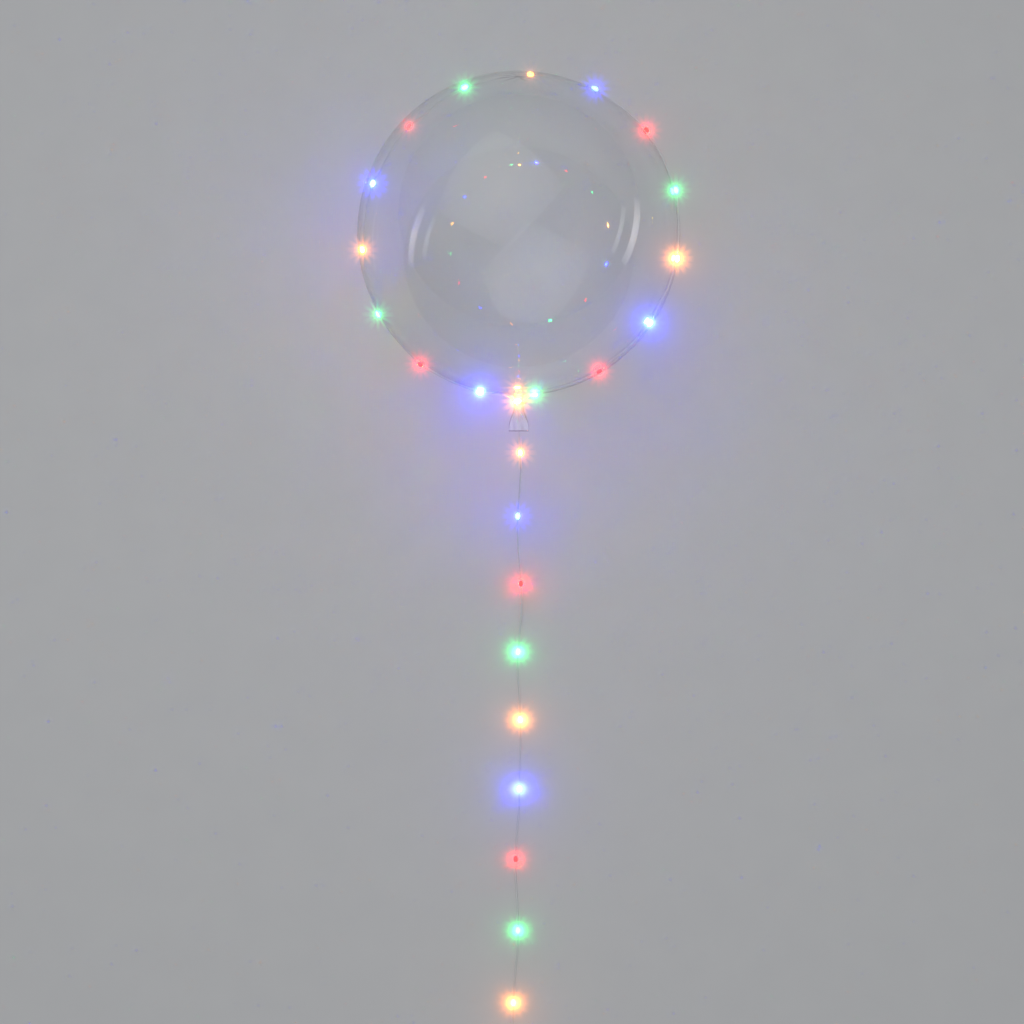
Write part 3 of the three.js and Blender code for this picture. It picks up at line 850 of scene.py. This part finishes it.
@dataclass
class TailRoute:
    """Centre line of the free cord: down from the neck, along the floor, round the coil and to the box.

    The coil winds inwards on the floor and back outwards on top, with a radius and a height each turn.
    """

    step: float = 2.5
    settling_step: float = 1.5
    turns: float = 6.25
    turn_radii: tuple[float, ...] = (13.65, 11.4, 9.2, 9.2, 11.4, 13.65, 13.65)
    turn_heights: tuple[float, ...] = (1.0, 1.0, 1.0, 3.1, 3.1, 3.1, 3.1)
    turn_change: float = 0.9
    leaving_height: float = 1.8
    lead_shares: tuple[float, ...] = (0.14, 0.3, 0.46, 0.62, 0.78, 0.92, 1.0)
    lead_in_box: float = 1.5
    held_before_end: float = 50.0
    easing: tuple[float, float, float] = (25.0, 5.0, 8.0)

    def start(self) -> np.ndarray:
        """Point where the cord leaves the neck."""
        out = np.array([0.0, -math.cos(NECK_DROOP), -math.sin(NECK_DROOP)])
        return lie(neck_point(*WIRE_AT_NECK)) + FIT_GAP * out

    def tail(self) -> np.ndarray:
        """Route the tail, lifted where a drop lies on the floor.

        Returns:
            Line from the neck to the coil.
        """
        start = self.start()
        dropped = [
            (start[0] + aside, start[1] - out, WIRE_RADIUS + height * (start[2] - WIRE_RADIUS))
            for aside, out, height in DROP_ROUTE
        ]
        floor_start = start[1] - FLOOR_RUN_START
        on_floor = [(start[0] + aside, floor_start - out, WIRE_RADIUS) for aside, out in FLOOR_ROUTE]
        line = curve_through(np.array([start, *dropped, *on_floor]), self.step)
        return lift_at_drops(line, FIRST_DROP_ON_TAIL + DROP_PITCH * np.arange(DROPS_ON_TAIL))

    def coil_centre(self) -> np.ndarray:
        """Give the middle of the coil.

        Returns:
            Its point on the floor.
        """
        start = self.start()
        aside, out = FLOOR_ROUTE[-1]
        return np.array([start[0] + aside - COIL_EDGE, start[1] - FLOOR_RUN_START - out, 0.0])

    def coil(self) -> np.ndarray:
        """Wind the coil: inwards along the floor, then back outwards on top of that.

        Returns:
            Line of the coil before it settles.
        """
        end = self.turns * 360
        turned = np.arange(5, end + 1, 5.0)
        turn = turned / 360
        between = smooth(self.turn_change, 1.0, turn % 1)
        whole = np.minimum(np.floor(turn).astype(int), len(self.turn_radii) - 2)
        radius, height = (
            np.take(row, whole) + (np.take(row, whole + 1) - np.take(row, whole)) * between
            for row in (self.turn_radii, self.turn_heights)
        )
        leaving = smooth(end - 90, end, turned)
        for at_edge in (1 - smooth(0, 90, turned), leaving):
            radius = radius + (COIL_EDGE - radius) * at_edge
        height = height + (self.leaving_height - height) * leaving
        angle = np.radians(-turned)
        line = np.stack([radius * np.cos(angle), radius * np.sin(angle), height], 1)
        return line + self.coil_centre()

    def lead(self) -> np.ndarray:
        """Route the lead.

        Returns:
            Line from the coil to the inside of the battery box.
        """
        centre = self.coil_centre()
        x, y = centre[0], centre[1] - COIL_EDGE
        shares = np.array(self.lead_shares)
        height = self.leaving_height + (LEAD_HEIGHT_ON_BOX - self.leaving_height) * smooth(0, 1, shares)
        points = np.stack([x - LEAD_LENGTH * shares, np.full(len(shares), y), height], 1)
        box_end = x - LEAD_LENGTH - SLEEVE_LENGTH - FIT_GAP
        ends = (box_end, box_end - BOX_WALL - self.lead_in_box)
        return np.vstack([points, [(end, y, LEAD_HEIGHT_ON_BOX) for end in ends]])

    def whole(self) -> tuple[np.ndarray, np.ndarray]:
        """Line of the whole cord, with the coil settled round its drops.

        Returns:
            The line, and the indices of its points in the middle of the coil's drops.
        """
        tail = self.tail()
        line = even_steps(np.vstack([tail, self.coil(), self.lead()]), self.settling_step)
        along = distances_along(line)
        start, end = distances_along(tail)[-1], along[-1] - self.held_before_end
        first = FIRST_DROP_ON_TAIL + DROPS_ON_TAIL * DROP_PITCH
        places = first + DROP_PITCH * np.arange(DROPS_ON_COIL)
        middles = np.array([int(np.argmin(np.abs(along - place))) for place in places])
        before, near, after = self.easing
        free = smooth(start - before, start - near, along) * (1 - smooth(end, end + after, along))
        return Settling(self.coil_centre()).settle(line, along[middles], free), middles


def neck_point(degrees: float, off: float, along: float) -> np.ndarray:
    """Point beside the neck, in the balloon's own axes.

    Args:
        degrees: Angle round the axis from +X towards +Z.
        off: Distance from the wire's place on the throat.
        along: Distance along the neck from the balloon's middle.

    Returns:
        The point in millimetres.
    """
    angle = math.radians(degrees)
    away = THROAT_RADIUS + WIRE_LIFT + off
    return np.array([away * math.cos(angle), -along, away * math.sin(angle)])


def loop_point(angle: float, lift: float, aside: float = 0.0) -> np.ndarray:
    """Point of the loop over the film, in the balloon's own axes.

    Args:
        angle: Angle round the loop from the neck, towards +X first.
        lift: Distance from the film.
        aside: Distance to one side of the loop's plane.

    Returns:
        The point in millimetres.
    """
    out = np.array(
        [math.sin(angle) * math.cos(LOOP_TURN), -math.cos(angle), math.sin(angle) * math.sin(LOOP_TURN)]
    )
    across = np.array([-math.sin(LOOP_TURN), 0.0, math.cos(LOOP_TURN)])
    point = out * (FILM_RADIUS + lift) + across * aside
    return point / np.linalg.norm(point) * (FILM_RADIUS + lift)


def lift_at_drops(line: np.ndarray, drops: np.ndarray) -> np.ndarray:
    """Raise a line on the floor where its drops lie under it.

    Args:
        line: Points of the line.
        drops: Distances of the drops along it.

    Returns:
        The raised line.
    """
    along = distances_along(line)
    near = np.abs(along[:, None] - drops[None]).min(axis=1)
    raised = line.copy()
    held = DROP_RADIUS * (1 - smooth(HALF_SEAT, LIFT_SPREAD, near))
    raised[:, 2] = np.maximum.reduce([line[:, 2], np.full(len(line), WIRE_RADIUS), held])
    return raised


@dataclass
class WireFinish:
    """Clear twin wire: insulation with two stranded conductors laid side by side in it."""

    radius: float = WIRE_RADIUS
    sides: int = 14
    core_sides: int = 6
    core_radius: float = 0.3
    core_off_axis: float = 0.42
    lay_mm: float = 42.0

    def add_to(self, parts: MeshParts, line: np.ndarray) -> None:
        """Add the wire along a line.

        Args:
            parts: Mesh that gets it.
            line: Centre line in millimetres.
        """
        parts.add_tube(line, self.radius, self.sides)
        turn = 2 * math.pi / self.lay_mm
        for angle in (0.0, math.pi):
            parts.add_tube(line, self.core_radius, self.core_sides, 1, (self.core_off_axis, angle), turn)

    def materials(self) -> list[bpy.types.Material]:
        """Make the insulation and the conductors' materials."""
        return [CLEAR_INSULATION.material(), TINNED_COPPER.material()]


@dataclass
class HeldWire:
    """Wire that the balloon holds: up the neck, round the film and once round the neck at its end.

    Each point beside the neck is an angle round it, a distance off it and a distance along it.
    """

    finish: WireFinish
    step: float = 2.0
    way_up: tuple[tuple[float, float, float], ...] = (
        WIRE_AT_NECK,
        (-92, 0.8, THROAT_END + 4),
        (-86, 0.4, THROAT_END),
        (-74, 0.3, THROAT_END - 2.6),
        (-58, 0.3, THROAT_END - 5.2),
        (-40, 0.3, THROAT_TOP + 2),
        (-22, 0.9, THROAT_TOP - 0.4),
        (-4, 2.8, THROAT_TOP - 2.9),
    )
    wrap: tuple[tuple[float, float, float], ...] = (
        (204, 6, THROAT_TOP - 3),
        (228, OVER_WIRE + 0.9, THROAT_TOP + 0.6),
        (252, OVER_WIRE + 0.4, THROAT_TOP + 3),
        (276, OVER_WIRE + 0.4, THROAT_MIDDLE - 0.9),
        (300, OVER_WIRE + 0.4, THROAT_MIDDLE - 0.2),
        (324, OVER_WIRE + 0.4, THROAT_MIDDLE),
        (348, OVER_WIRE, THROAT_MIDDLE),
        (12, 0.9, THROAT_MIDDLE),
        (36, 0.6, THROAT_MIDDLE),
    )
    outside_foot: tuple[float, float] = (20, 5)
    end_drop_aside: float = -2.0

    def line(self) -> np.ndarray:
        """Route the wire.

        Returns:
            Centre line in the frame of the part.
        """
        neck = [neck_point(*place) for place in self.way_up]
        return lie(curve_through(np.array([*neck, *self.loop(), *self.end()]), self.step))

    def loop(self) -> list[np.ndarray]:
        """Route the loop, which stands off the film at each drop and wanders between them.

        Returns:
            Points of the loop over the film.
        """
        seat = HALF_SEAT / LOOP_RADIUS
        gap_angle = (LOOP_END - LOOP_START) / LOOP_GAPS
        points = [loop_point(LOOP_START - seat, DROP_LIFT)]
        for gap in range(LOOP_GAPS):
            size = LOOP_WANDER * (0.7 + 0.3 * math.sin(1.7 * gap))
            for share in GAP_SHARES:
                away = float(smooth(HALF_SEAT, LIFT_SPREAD, min(share, 1 - share) * DROP_PITCH))
                lift = DROP_LIFT + (WIRE_LIFT - DROP_LIFT) * away
                aside = size * away * math.sin(2 * math.pi * share)
                points.append(loop_point(LOOP_START + (gap + share) * gap_angle, lift, aside))
        points.append(loop_point(LOOP_END + seat, DROP_LIFT))
        return points

    def end(self) -> list[np.ndarray]:
        """Route the wrap round the neck.

        Returns:
            Points of the wrap and of the end drop's seat.
        """
        foot = [
            loop_point(-(NECK_FOOT_RADIUS + out) / FILM_RADIUS, WIRE_LIFT) for out in self.outside_foot
        ]
        drop = np.array([self.end_drop_aside, -THROAT_MIDDLE, THROAT_RADIUS + FIT_GAP + DROP_RADIUS])
        half = np.array([DROP_LENGTH / 2, 0, 0])
        return [*foot, *(neck_point(*place) for place in self.wrap), drop + half, drop - half]

    def make(self) -> tuple[bpy.types.Object, np.ndarray]:
        """Make the wire.

        Returns:
            The piece and its centre line.
        """
        line = self.line()
        parts = MeshParts()
        self.finish.add_to(parts, line)
        piece = parts.make("held_wire", self.finish.materials())
        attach(piece, BODY)
        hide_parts("loop_wire")
        log.info("held_wire: %.2f m", distances_along(line)[-1] * MM)
        return piece, line


@dataclass
class LightDrops:
    """Resin drops of the string, each one cast over the wire."""

    rings: int = 16
    sides: int = 24
    fullness: float = 0.8
    lopsided: float = 0.05
    resins: dict[tuple[str, float], bpy.types.Material] = field(default_factory=dict)

    def resin(self, colour: str, gain: float = 1.0) -> bpy.types.Material:
        """Give the lit resin of a colour, made once for each brightness.

        Args:
            colour: Colour of the light, such as green.
            gain: Brightness of the light against the rest.

        Returns:
            The material.
        """
        if (colour, gain) not in self.resins:
            self.resins[colour, gain] = lit_resin(Glow[colour.upper()], gain).material()
        return self.resins[colour, gain]

    def shape(self) -> tuple[np.ndarray, list[tuple[int, ...]]]:
        """Points and faces of one drop along +X, its middle at the origin.

        Returns:
            Points in millimetres, and faces.
        """
        turned = np.linspace(0, np.pi, self.rings + 1)[1:-1]
        along = -DROP_LENGTH / 2 * np.cos(turned)
        radius = DROP_RADIUS * np.sin(turned) ** self.fullness * (1 - self.lopsided * np.cos(turned))
        around = np.linspace(0, 2 * np.pi, self.sides, endpoint=False)
        across = (radius[:, None] * np.cos(around)).ravel(), (radius[:, None] * np.sin(around)).ravel()
        grid = np.stack([np.repeat(along, self.sides), *across], 1)
        poles = np.array([[-DROP_LENGTH / 2, 0, 0], [DROP_LENGTH / 2, 0, 0]])
        faces = grid_faces(len(turned), self.sides, flip=True)
        first, last = len(grid), len(grid) + 1
        end = (len(turned) - 1) * self.sides
        for side in range(self.sides):
            after = (side + 1) % self.sides
            faces.append((first, after, side))
            faces.append((last, end + side, end + after))
        return np.vstack([grid, poles]), faces

    def on_line(
        self, name: str, centre: np.ndarray, line: np.ndarray, index: int, material: bpy.types.Material
    ) -> bpy.types.Object:
        """Make a drop that lies along a line.

        Args:
            name: Number and colour of the drop, such as 15_green.
            centre: Its middle, in millimetres.
            line: Centre line of the wire that carries it.
            index: Index of the line's point in its middle.
            material: Lit resin.

        Returns:
            The piece.
        """
        before, after = max(index - 2, 0), min(index + 2, len(line) - 1)
        points, faces = self.shape()
        direction = Vector(line[after] - line[before])
        turn = Vector((1, 0, 0)).rotation_difference(direction).to_matrix()
        piece = make_piece(f"drop_{name}", points @ np.array(turn).T + centre, faces, [material])
        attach(piece, BODY)
        log.info("%s made", piece.name)
        return piece

    def for_node(self, node: str, line: np.ndarray, material: bpy.types.Material) -> bpy.types.Object:
        """Make the drop that stands for a CAD node.

        Args:
            node: Name of the CAD node, such as light_15_green.
            line: Centre line of the wire that carries it.
            material: Lit resin.

        Returns:
            The piece.
        """
        low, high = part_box(node)
        centre = (np.array(low) + np.array(high)) / 2 / MM
        nearest = int(np.argmin(np.linalg.norm(line - centre, axis=1)))
        piece = self.on_line(node.removeprefix("light_"), centre, line, nearest, material)
        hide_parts(node)
        return piece

    def make(
        self, held_line: np.ndarray, cord_line: np.ndarray, coil_middles: np.ndarray
    ) -> list[bpy.types.Object]:
        """Make all the drops, those of the CAD nodes first.

        Args:
            held_line: Centre line of the wire that the balloon holds.
            cord_line: Centre line of the free cord.
            coil_middles: Indices of its points in the middle of the coil's drops.

        Returns:
            The drops on the free cord.
        """
        on_cord = []
        for node in sorted(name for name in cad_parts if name.startswith("light_")):
            _, number, colour = node.split("_")
            material = self.resin(colour, GLARE_UP.get(int(number), 1.0))
            if int(number) > DROPS_ON_COIL + DROPS_ON_TAIL:
                self.for_node(node, held_line, material)
            else:
                on_cord.append(self.for_node(node, cord_line, material))
        for place, index in enumerate(coil_middles):
            number = DROPS_ON_COIL - place
            colour = COLOUR_ORDER[(number + 2) % len(COLOUR_ORDER)]
            name = f"{number:02d}_{colour}"
            piece = self.on_line(name, cord_line[index], cord_line, int(index), self.resin(colour))
            on_cord.append(piece)
        return on_cord


@dataclass
class BalloonFilm:
    """Clear film: a ball with a gathered throat and a flat tail, open at its end.

    The waves that make the pleats, the crown's star and the fold uneven have fixed counts and phases.
    """

    wall: float = 0.25
    sides: int = 240
    ball_rings: int = 84
    ring_crowding: float = 1.35
    fillet_rings: int = 12
    throat_rings: int = 8
    flap_rings: int = 24
    crown_hole: float = 0.6
    pleats: int = 24
    pleat_depth: float = 1.1
    pleat_reach: float = 26.0
    crease_reach: float = 95.0
    crease_depth: float = 0.7
    star_points: int = 9
    star_depth: float = 0.9
    star_reach: tuple[float, float] = (3.0, 42.0)
    flap_width: float = 28.0
    flap_thickness: float = 1.5
    flattened_by: float = 0.8
    fold_depth: float = 0.45
    folds: float = 2.5
    edge_length: float = 6.0
    edge_thinning: float = 0.8
    spot_zone: float = 30.0
    contact_blend: float = 0.5

    def profile(self) -> np.ndarray:
        """Draw the film's section.

        Returns:
            Distance from the axis and place along it, from the crown to the tail's end.
        """
        foot_angle = math.asin(NECK_FOOT_RADIUS / FILM_RADIUS)
        share = np.linspace(0, 1, self.ball_rings + 1)[1:]
        turned = (math.pi - foot_angle) * (1 - (1 - share) ** self.ring_crowding)
        ball = np.stack([FILM_RADIUS * np.sin(turned), FILM_RADIUS * np.cos(turned)], 1)
        begin, end = ball[-1], np.array([THROAT_RADIUS, -THROAT_TOP])
        corner = np.array([THROAT_RADIUS, -FILM_RADIUS])
        t = np.linspace(0, 1, self.fillet_rings + 1)[1:, None]
        fillet = (1 - t) ** 2 * begin + 2 * t * (1 - t) * corner + t**2 * end
        throat = np.linspace(THROAT_TOP, THROAT_END, self.throat_rings + 1)[1:]
        flap = np.linspace(THROAT_END, FLAP_END, self.flap_rings + 1)[1:]
        down = np.concatenate([throat, flap])
        tail = np.stack([np.full(len(down), THROAT_RADIUS), -down], 1)
        return np.vstack([[[self.crown_hole, FILM_RADIUS]], ball, fillet, tail])

    def outer(self) -> np.ndarray:
        """Shape the outer face: the section turned round, with its pleats, creases, star and flap.

        Returns:
            Points in the balloon's own axes, rows by columns.
        """
        profile = self.profile()
        around = np.linspace(0, 2 * np.pi, self.sides, endpoint=False)
        away, along = profile[:, :1], profile[:, 1:]
        near_neck = along < -FILM_RADIUS * 0.5
        on_flap = smooth(THROAT_END, FLAP_END, -along)
        deep = 1 - smooth(THROAT_RADIUS, THROAT_RADIUS + self.pleat_reach, away)
        uneven = 0.72 + 0.28 * np.cos(5 * around + 0.8) * np.cos(3 * around)
        valley = (1 - np.cos(self.pleats * around + 0.5 * np.sin(3 * around))) / 2 * uneven
        pleat = self.pleat_depth / THROAT_RADIUS * deep * (1 - on_flap) * valley
        crease = 1 - smooth(NECK_FOOT_RADIUS * 0.6, self.crease_reach, away)
        creased = self.crease_depth * crease**2 * (1 - deep) * valley / np.maximum(away, 1)
        away = away * (1 - np.where(near_neck, pleat + creased, 0))
        near_crown = along > FILM_RADIUS * 0.5
        ray = 1 - np.cos(self.star_points * around + np.sin(2 * around))
        star = (1 - smooth(*self.star_reach, away)) ** 2 * ray / 2
        sink = np.where(near_crown, self.star_depth * star, 0)
        flat = smooth(THROAT_END, THROAT_END + self.flattened_by * FLAP_LENGTH, -along)
        wide = 1 + (self.flap_width / (2 * THROAT_RADIUS) - 1) * flat
        thick = 1 + (self.flap_thickness / (2 * THROAT_RADIUS) - 1) * flat
        x = away * np.cos(around) * wide
        turn = x / self.flap_width * 2 * np.pi * self.folds + 0.6 * np.sin(along / 9)
        z = away * np.sin(around) * thick + self.fold_depth * flat * np.sin(turn)
        y = along - sink + 0 * around
        return np.stack([x, y, z], -1)

    def inner(self, outer: np.ndarray) -> np.ndarray:
        """Points of the inner face.

        Args:
            outer: Points of the outer face.

        Returns:
            The points moved in by the wall's thickness.
        """
        round_it = np.roll(outer, -1, axis=1) - np.roll(outer, 1, axis=1)
        along_it = np.gradient(outer, axis=0)
        normal = np.cross(round_it, along_it)
        normal /= np.linalg.norm(normal, axis=2)[:, :, None]
        middle = np.array([0.0, outer[:, :, 1].mean(), 0.0])
        facing = np.sign(np.einsum("ijk,ijk->ij", normal, outer - middle).mean())
        at_edge = smooth(FLAP_END - self.edge_length, FLAP_END, -outer[:, :, 1])[:, :, None]
        return outer - normal * facing * self.wall * (1 - self.edge_thinning * at_edge)

    def rest(self, points: np.ndarray) -> np.ndarray:
        """Press the lying film flat where it meets the floor.

        Args:
            points: Points in the frame of the part.

        Returns:
            The points with none below the floor.
        """
        pressed = points.copy()
        height = points[..., 2]
        above = (height + np.sqrt(height**2 + self.contact_blend**2)) / 2
        pressed[..., 2] = np.where(height < self.spot_zone, above, height)
        return pressed

    def make(self) -> bpy.types.Object:
        """Make the film.

        Returns:
            The piece.
        """
        outer = self.outer()
        rows, columns = outer.shape[:2]
        count = rows * columns
        inner = lie(self.inner(outer)).reshape(-1, 3)
        inner_lying = self.rest(inner)
        inner_lying[inner[:, 2] < self.spot_zone, 2] += 0.5 * self.wall
        faces = grid_faces(rows, columns, flip=True) + grid_faces(rows, columns, count)
        faces.append(tuple(reversed(range(columns))))
        faces.append(tuple(range(count, count + columns)))
        last = count - columns
        for column in range(columns):
            after = (column + 1) % columns
            faces.append((last + column, last + after, count + last + after, count + last + column))
        points = np.vstack([self.rest(lie(outer)).reshape(-1, 3), inner_lying])
        piece = make_piece("film_shell", points, faces, [CLEAR_FILM.material()])
        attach(piece, BODY)
        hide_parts("balloon_film")
        log.info("film_shell: %d faces", len(faces))
        return piece


def make_tail_cord(finish: WireFinish, line: np.ndarray) -> None:
    """Args:
        finish: Twin wire.
        line: Centre line of the cord, in millimetres.
    """
    parts = MeshParts()
    finish.add_to(parts, line)
    piece = parts.make("tail_cord", finish.materials())
    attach(piece, BODY)
    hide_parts("tail_wire", "wire_coil", "box_lead")


@dataclass
class RibbedSleeve:
    """Soft sleeve where the lead enters the box: a collar, and ribs on a taper towards the lead."""

    radius: float = 3.0
    bore_gap: float = 0.35
    collar_length: float = 1.9
    collar_edge: float = 0.2
    taper: float = 0.9
    rib_rings: int = 23
    rib_depth: float = 0.22
    tip: tuple[float, float] = (2.0, 1.8)
    tip_edge: float = 0.15
    sides: int = 28

    def profile(self, length: float) -> list[tuple[float, float]]:
        """Draw the section, closed on itself.

        Args:
            length: Length of the sleeve.

        Returns:
            Radius and distance along the axis of each ring.
        """
        bore, edge = WIRE_RADIUS + self.bore_gap, self.collar_edge
        rings = [(bore, length), (bore, 0.0), (self.radius - edge, 0.0), (self.radius, edge)]
        rings.append((self.radius, self.collar_length))
        for share in np.linspace(0.26, 0.92, self.rib_rings):
            rib = self.rib_depth * (int(share * 30) % 2)
            rings.append((self.radius - self.taper * (share - 0.25) / 0.75 - rib, share * length))
        return [*rings, (self.tip[0], length - self.tip_edge), (self.tip[1], length)]

    def make(self) -> bpy.types.Object:
        """Make the sleeve.

        Returns:
            The piece.
        """
        low, high = (np.array(corner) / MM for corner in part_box("lead_sleeve"))
        base = np.array([low[0], (low[1] + high[1]) / 2, (low[2] + high[2]) / 2])
        first = np.cross((1, 0, 0), (0.1, 0.9, 0.3))
        first /= np.linalg.norm(first)
        second = np.cross((1, 0, 0), first)
        around = np.linspace(0, 2 * np.pi, self.sides, endpoint=False)[:, None]
        ring = np.cos(around) * first + np.sin(around) * second
        profile = self.profile(high[0] - low[0])
        points = np.vstack([base + np.array((along, 0, 0)) + radius * ring for radius, along in profile])
        faces = grid_faces(len(profile), self.sides, flip=True, ring=True)
        piece = make_piece("ribbed_sleeve", points, faces, [SOFT_VINYL.material()])
        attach(piece, BODY)
        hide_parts("lead_sleeve")
        log.info("ribbed_sleeve made")
        return piece


@dataclass
class CoilTie:
    """Plastic-coated wire tie: a thin band round the coil's bundle, its two ends twisted together."""

    half_width: float = 5.42
    half_height: float = 3.9
    sides: int = 64
    band: tuple[tuple[float, float], ...] = (
        (0.0, -2.0),
        (0.0, 2.0),
        (0.12, 2.0),
        (0.3, 1.7),
        (0.5, 0.5),
        (0.5, -0.5),
        (0.3, -1.7),
        (0.12, -2.0),
    )
    twist_length: float = 12.3
    twist_start: float = 0.2
    twist_turns: float = 3.5
    end_radius: float = 0.46
    end_off_axis: float = 0.42
    lean: float = math.radians(55)

    def place(self, across: np.ndarray, up: np.ndarray, along: np.ndarray) -> np.ndarray:
        """Points of the tie in the frame of the part.

        Args:
            across: Distance out from the bundle's middle.
            up: Distance above it.
            along: Distance along the wires.

        Returns:
            Points in millimetres.
        """
        low, high = (np.array(corner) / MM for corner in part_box("coil_tie"))
        _, y, z = TailRoute().coil_centre() + [0, COIL_RADIUS, TIE_HEIGHT]
        return np.stack([(low[0] + high[0]) / 2 + along, y + across, z + up], -1)

    def make(self) -> bpy.types.Object:
        """Make the tie.

        Returns:
            The piece.
        """
        parts = MeshParts()
        around = np.linspace(0, 2 * np.pi, self.sides, endpoint=False)
        rows = [
            self.place(
                (self.half_width + off) * np.cos(around),
                (self.half_height + off) * np.sin(around),
                np.full(self.sides, along),
            )
            for off, along in self.band
        ]
        faces = grid_faces(self.sides, len(self.band), flip=True, ring=True)
        parts.add(np.stack(rows, 1).reshape(-1, 3), faces)
        share = np.linspace(0, 1, 60)
        reach = self.half_height + self.twist_start + share * self.twist_length
        sin, cos = math.sin(self.lean), math.cos(self.lean)
        for side in (0.0, math.pi):
            angle = side + share * 2 * math.pi * self.twist_turns
            off_axis, along = self.end_off_axis * np.cos(angle), self.end_off_axis * np.sin(angle)
            line = self.place(-reach * sin + off_axis * cos, reach * cos + off_axis * sin, along)
            parts.add_tube(line, self.end_radius, 8)
        piece = parts.make("twisted_tie", [TIE_COAT.material()])
        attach(piece, BODY)
        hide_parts("coil_tie")
        log.info("twisted_tie made")
        return piece


def dress_case() -> list[bpy.types.Object]:
    """Give the CAD tray, lid and screw their finishes.

    Returns:
        Their objects.
    """
    finishes = {"battery_box": WHITE_ABS, "battery_lid": WHITE_ABS, "lid_screw": ZINC_STEEL}
    for node, finish in finishes.items():
        material = finish.material()
        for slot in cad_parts[node].material_slots:
            slot.material = material
        log.info("%s dressed", node)
    return [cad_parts[node] for node in finishes]


def main() -> None:
    """Build the pieces in order."""
    logging.basicConfig(level=logging.INFO, format="%(message)s")
    Studio().make()
    finish = WireFinish()
    cord_line, coil_middles = TailRoute().whole()
    _, held_line = HeldWire(finish).make()
    on_cord = LightDrops().make(held_line, cord_line, coil_middles)
    on_cord += [RibbedSleeve().make(), CoilTie().make()]
    on_cord += dress_case()
    make_tail_cord(finish, cord_line)
    BalloonFilm().make()


if __name__ == "__main__":
    main()
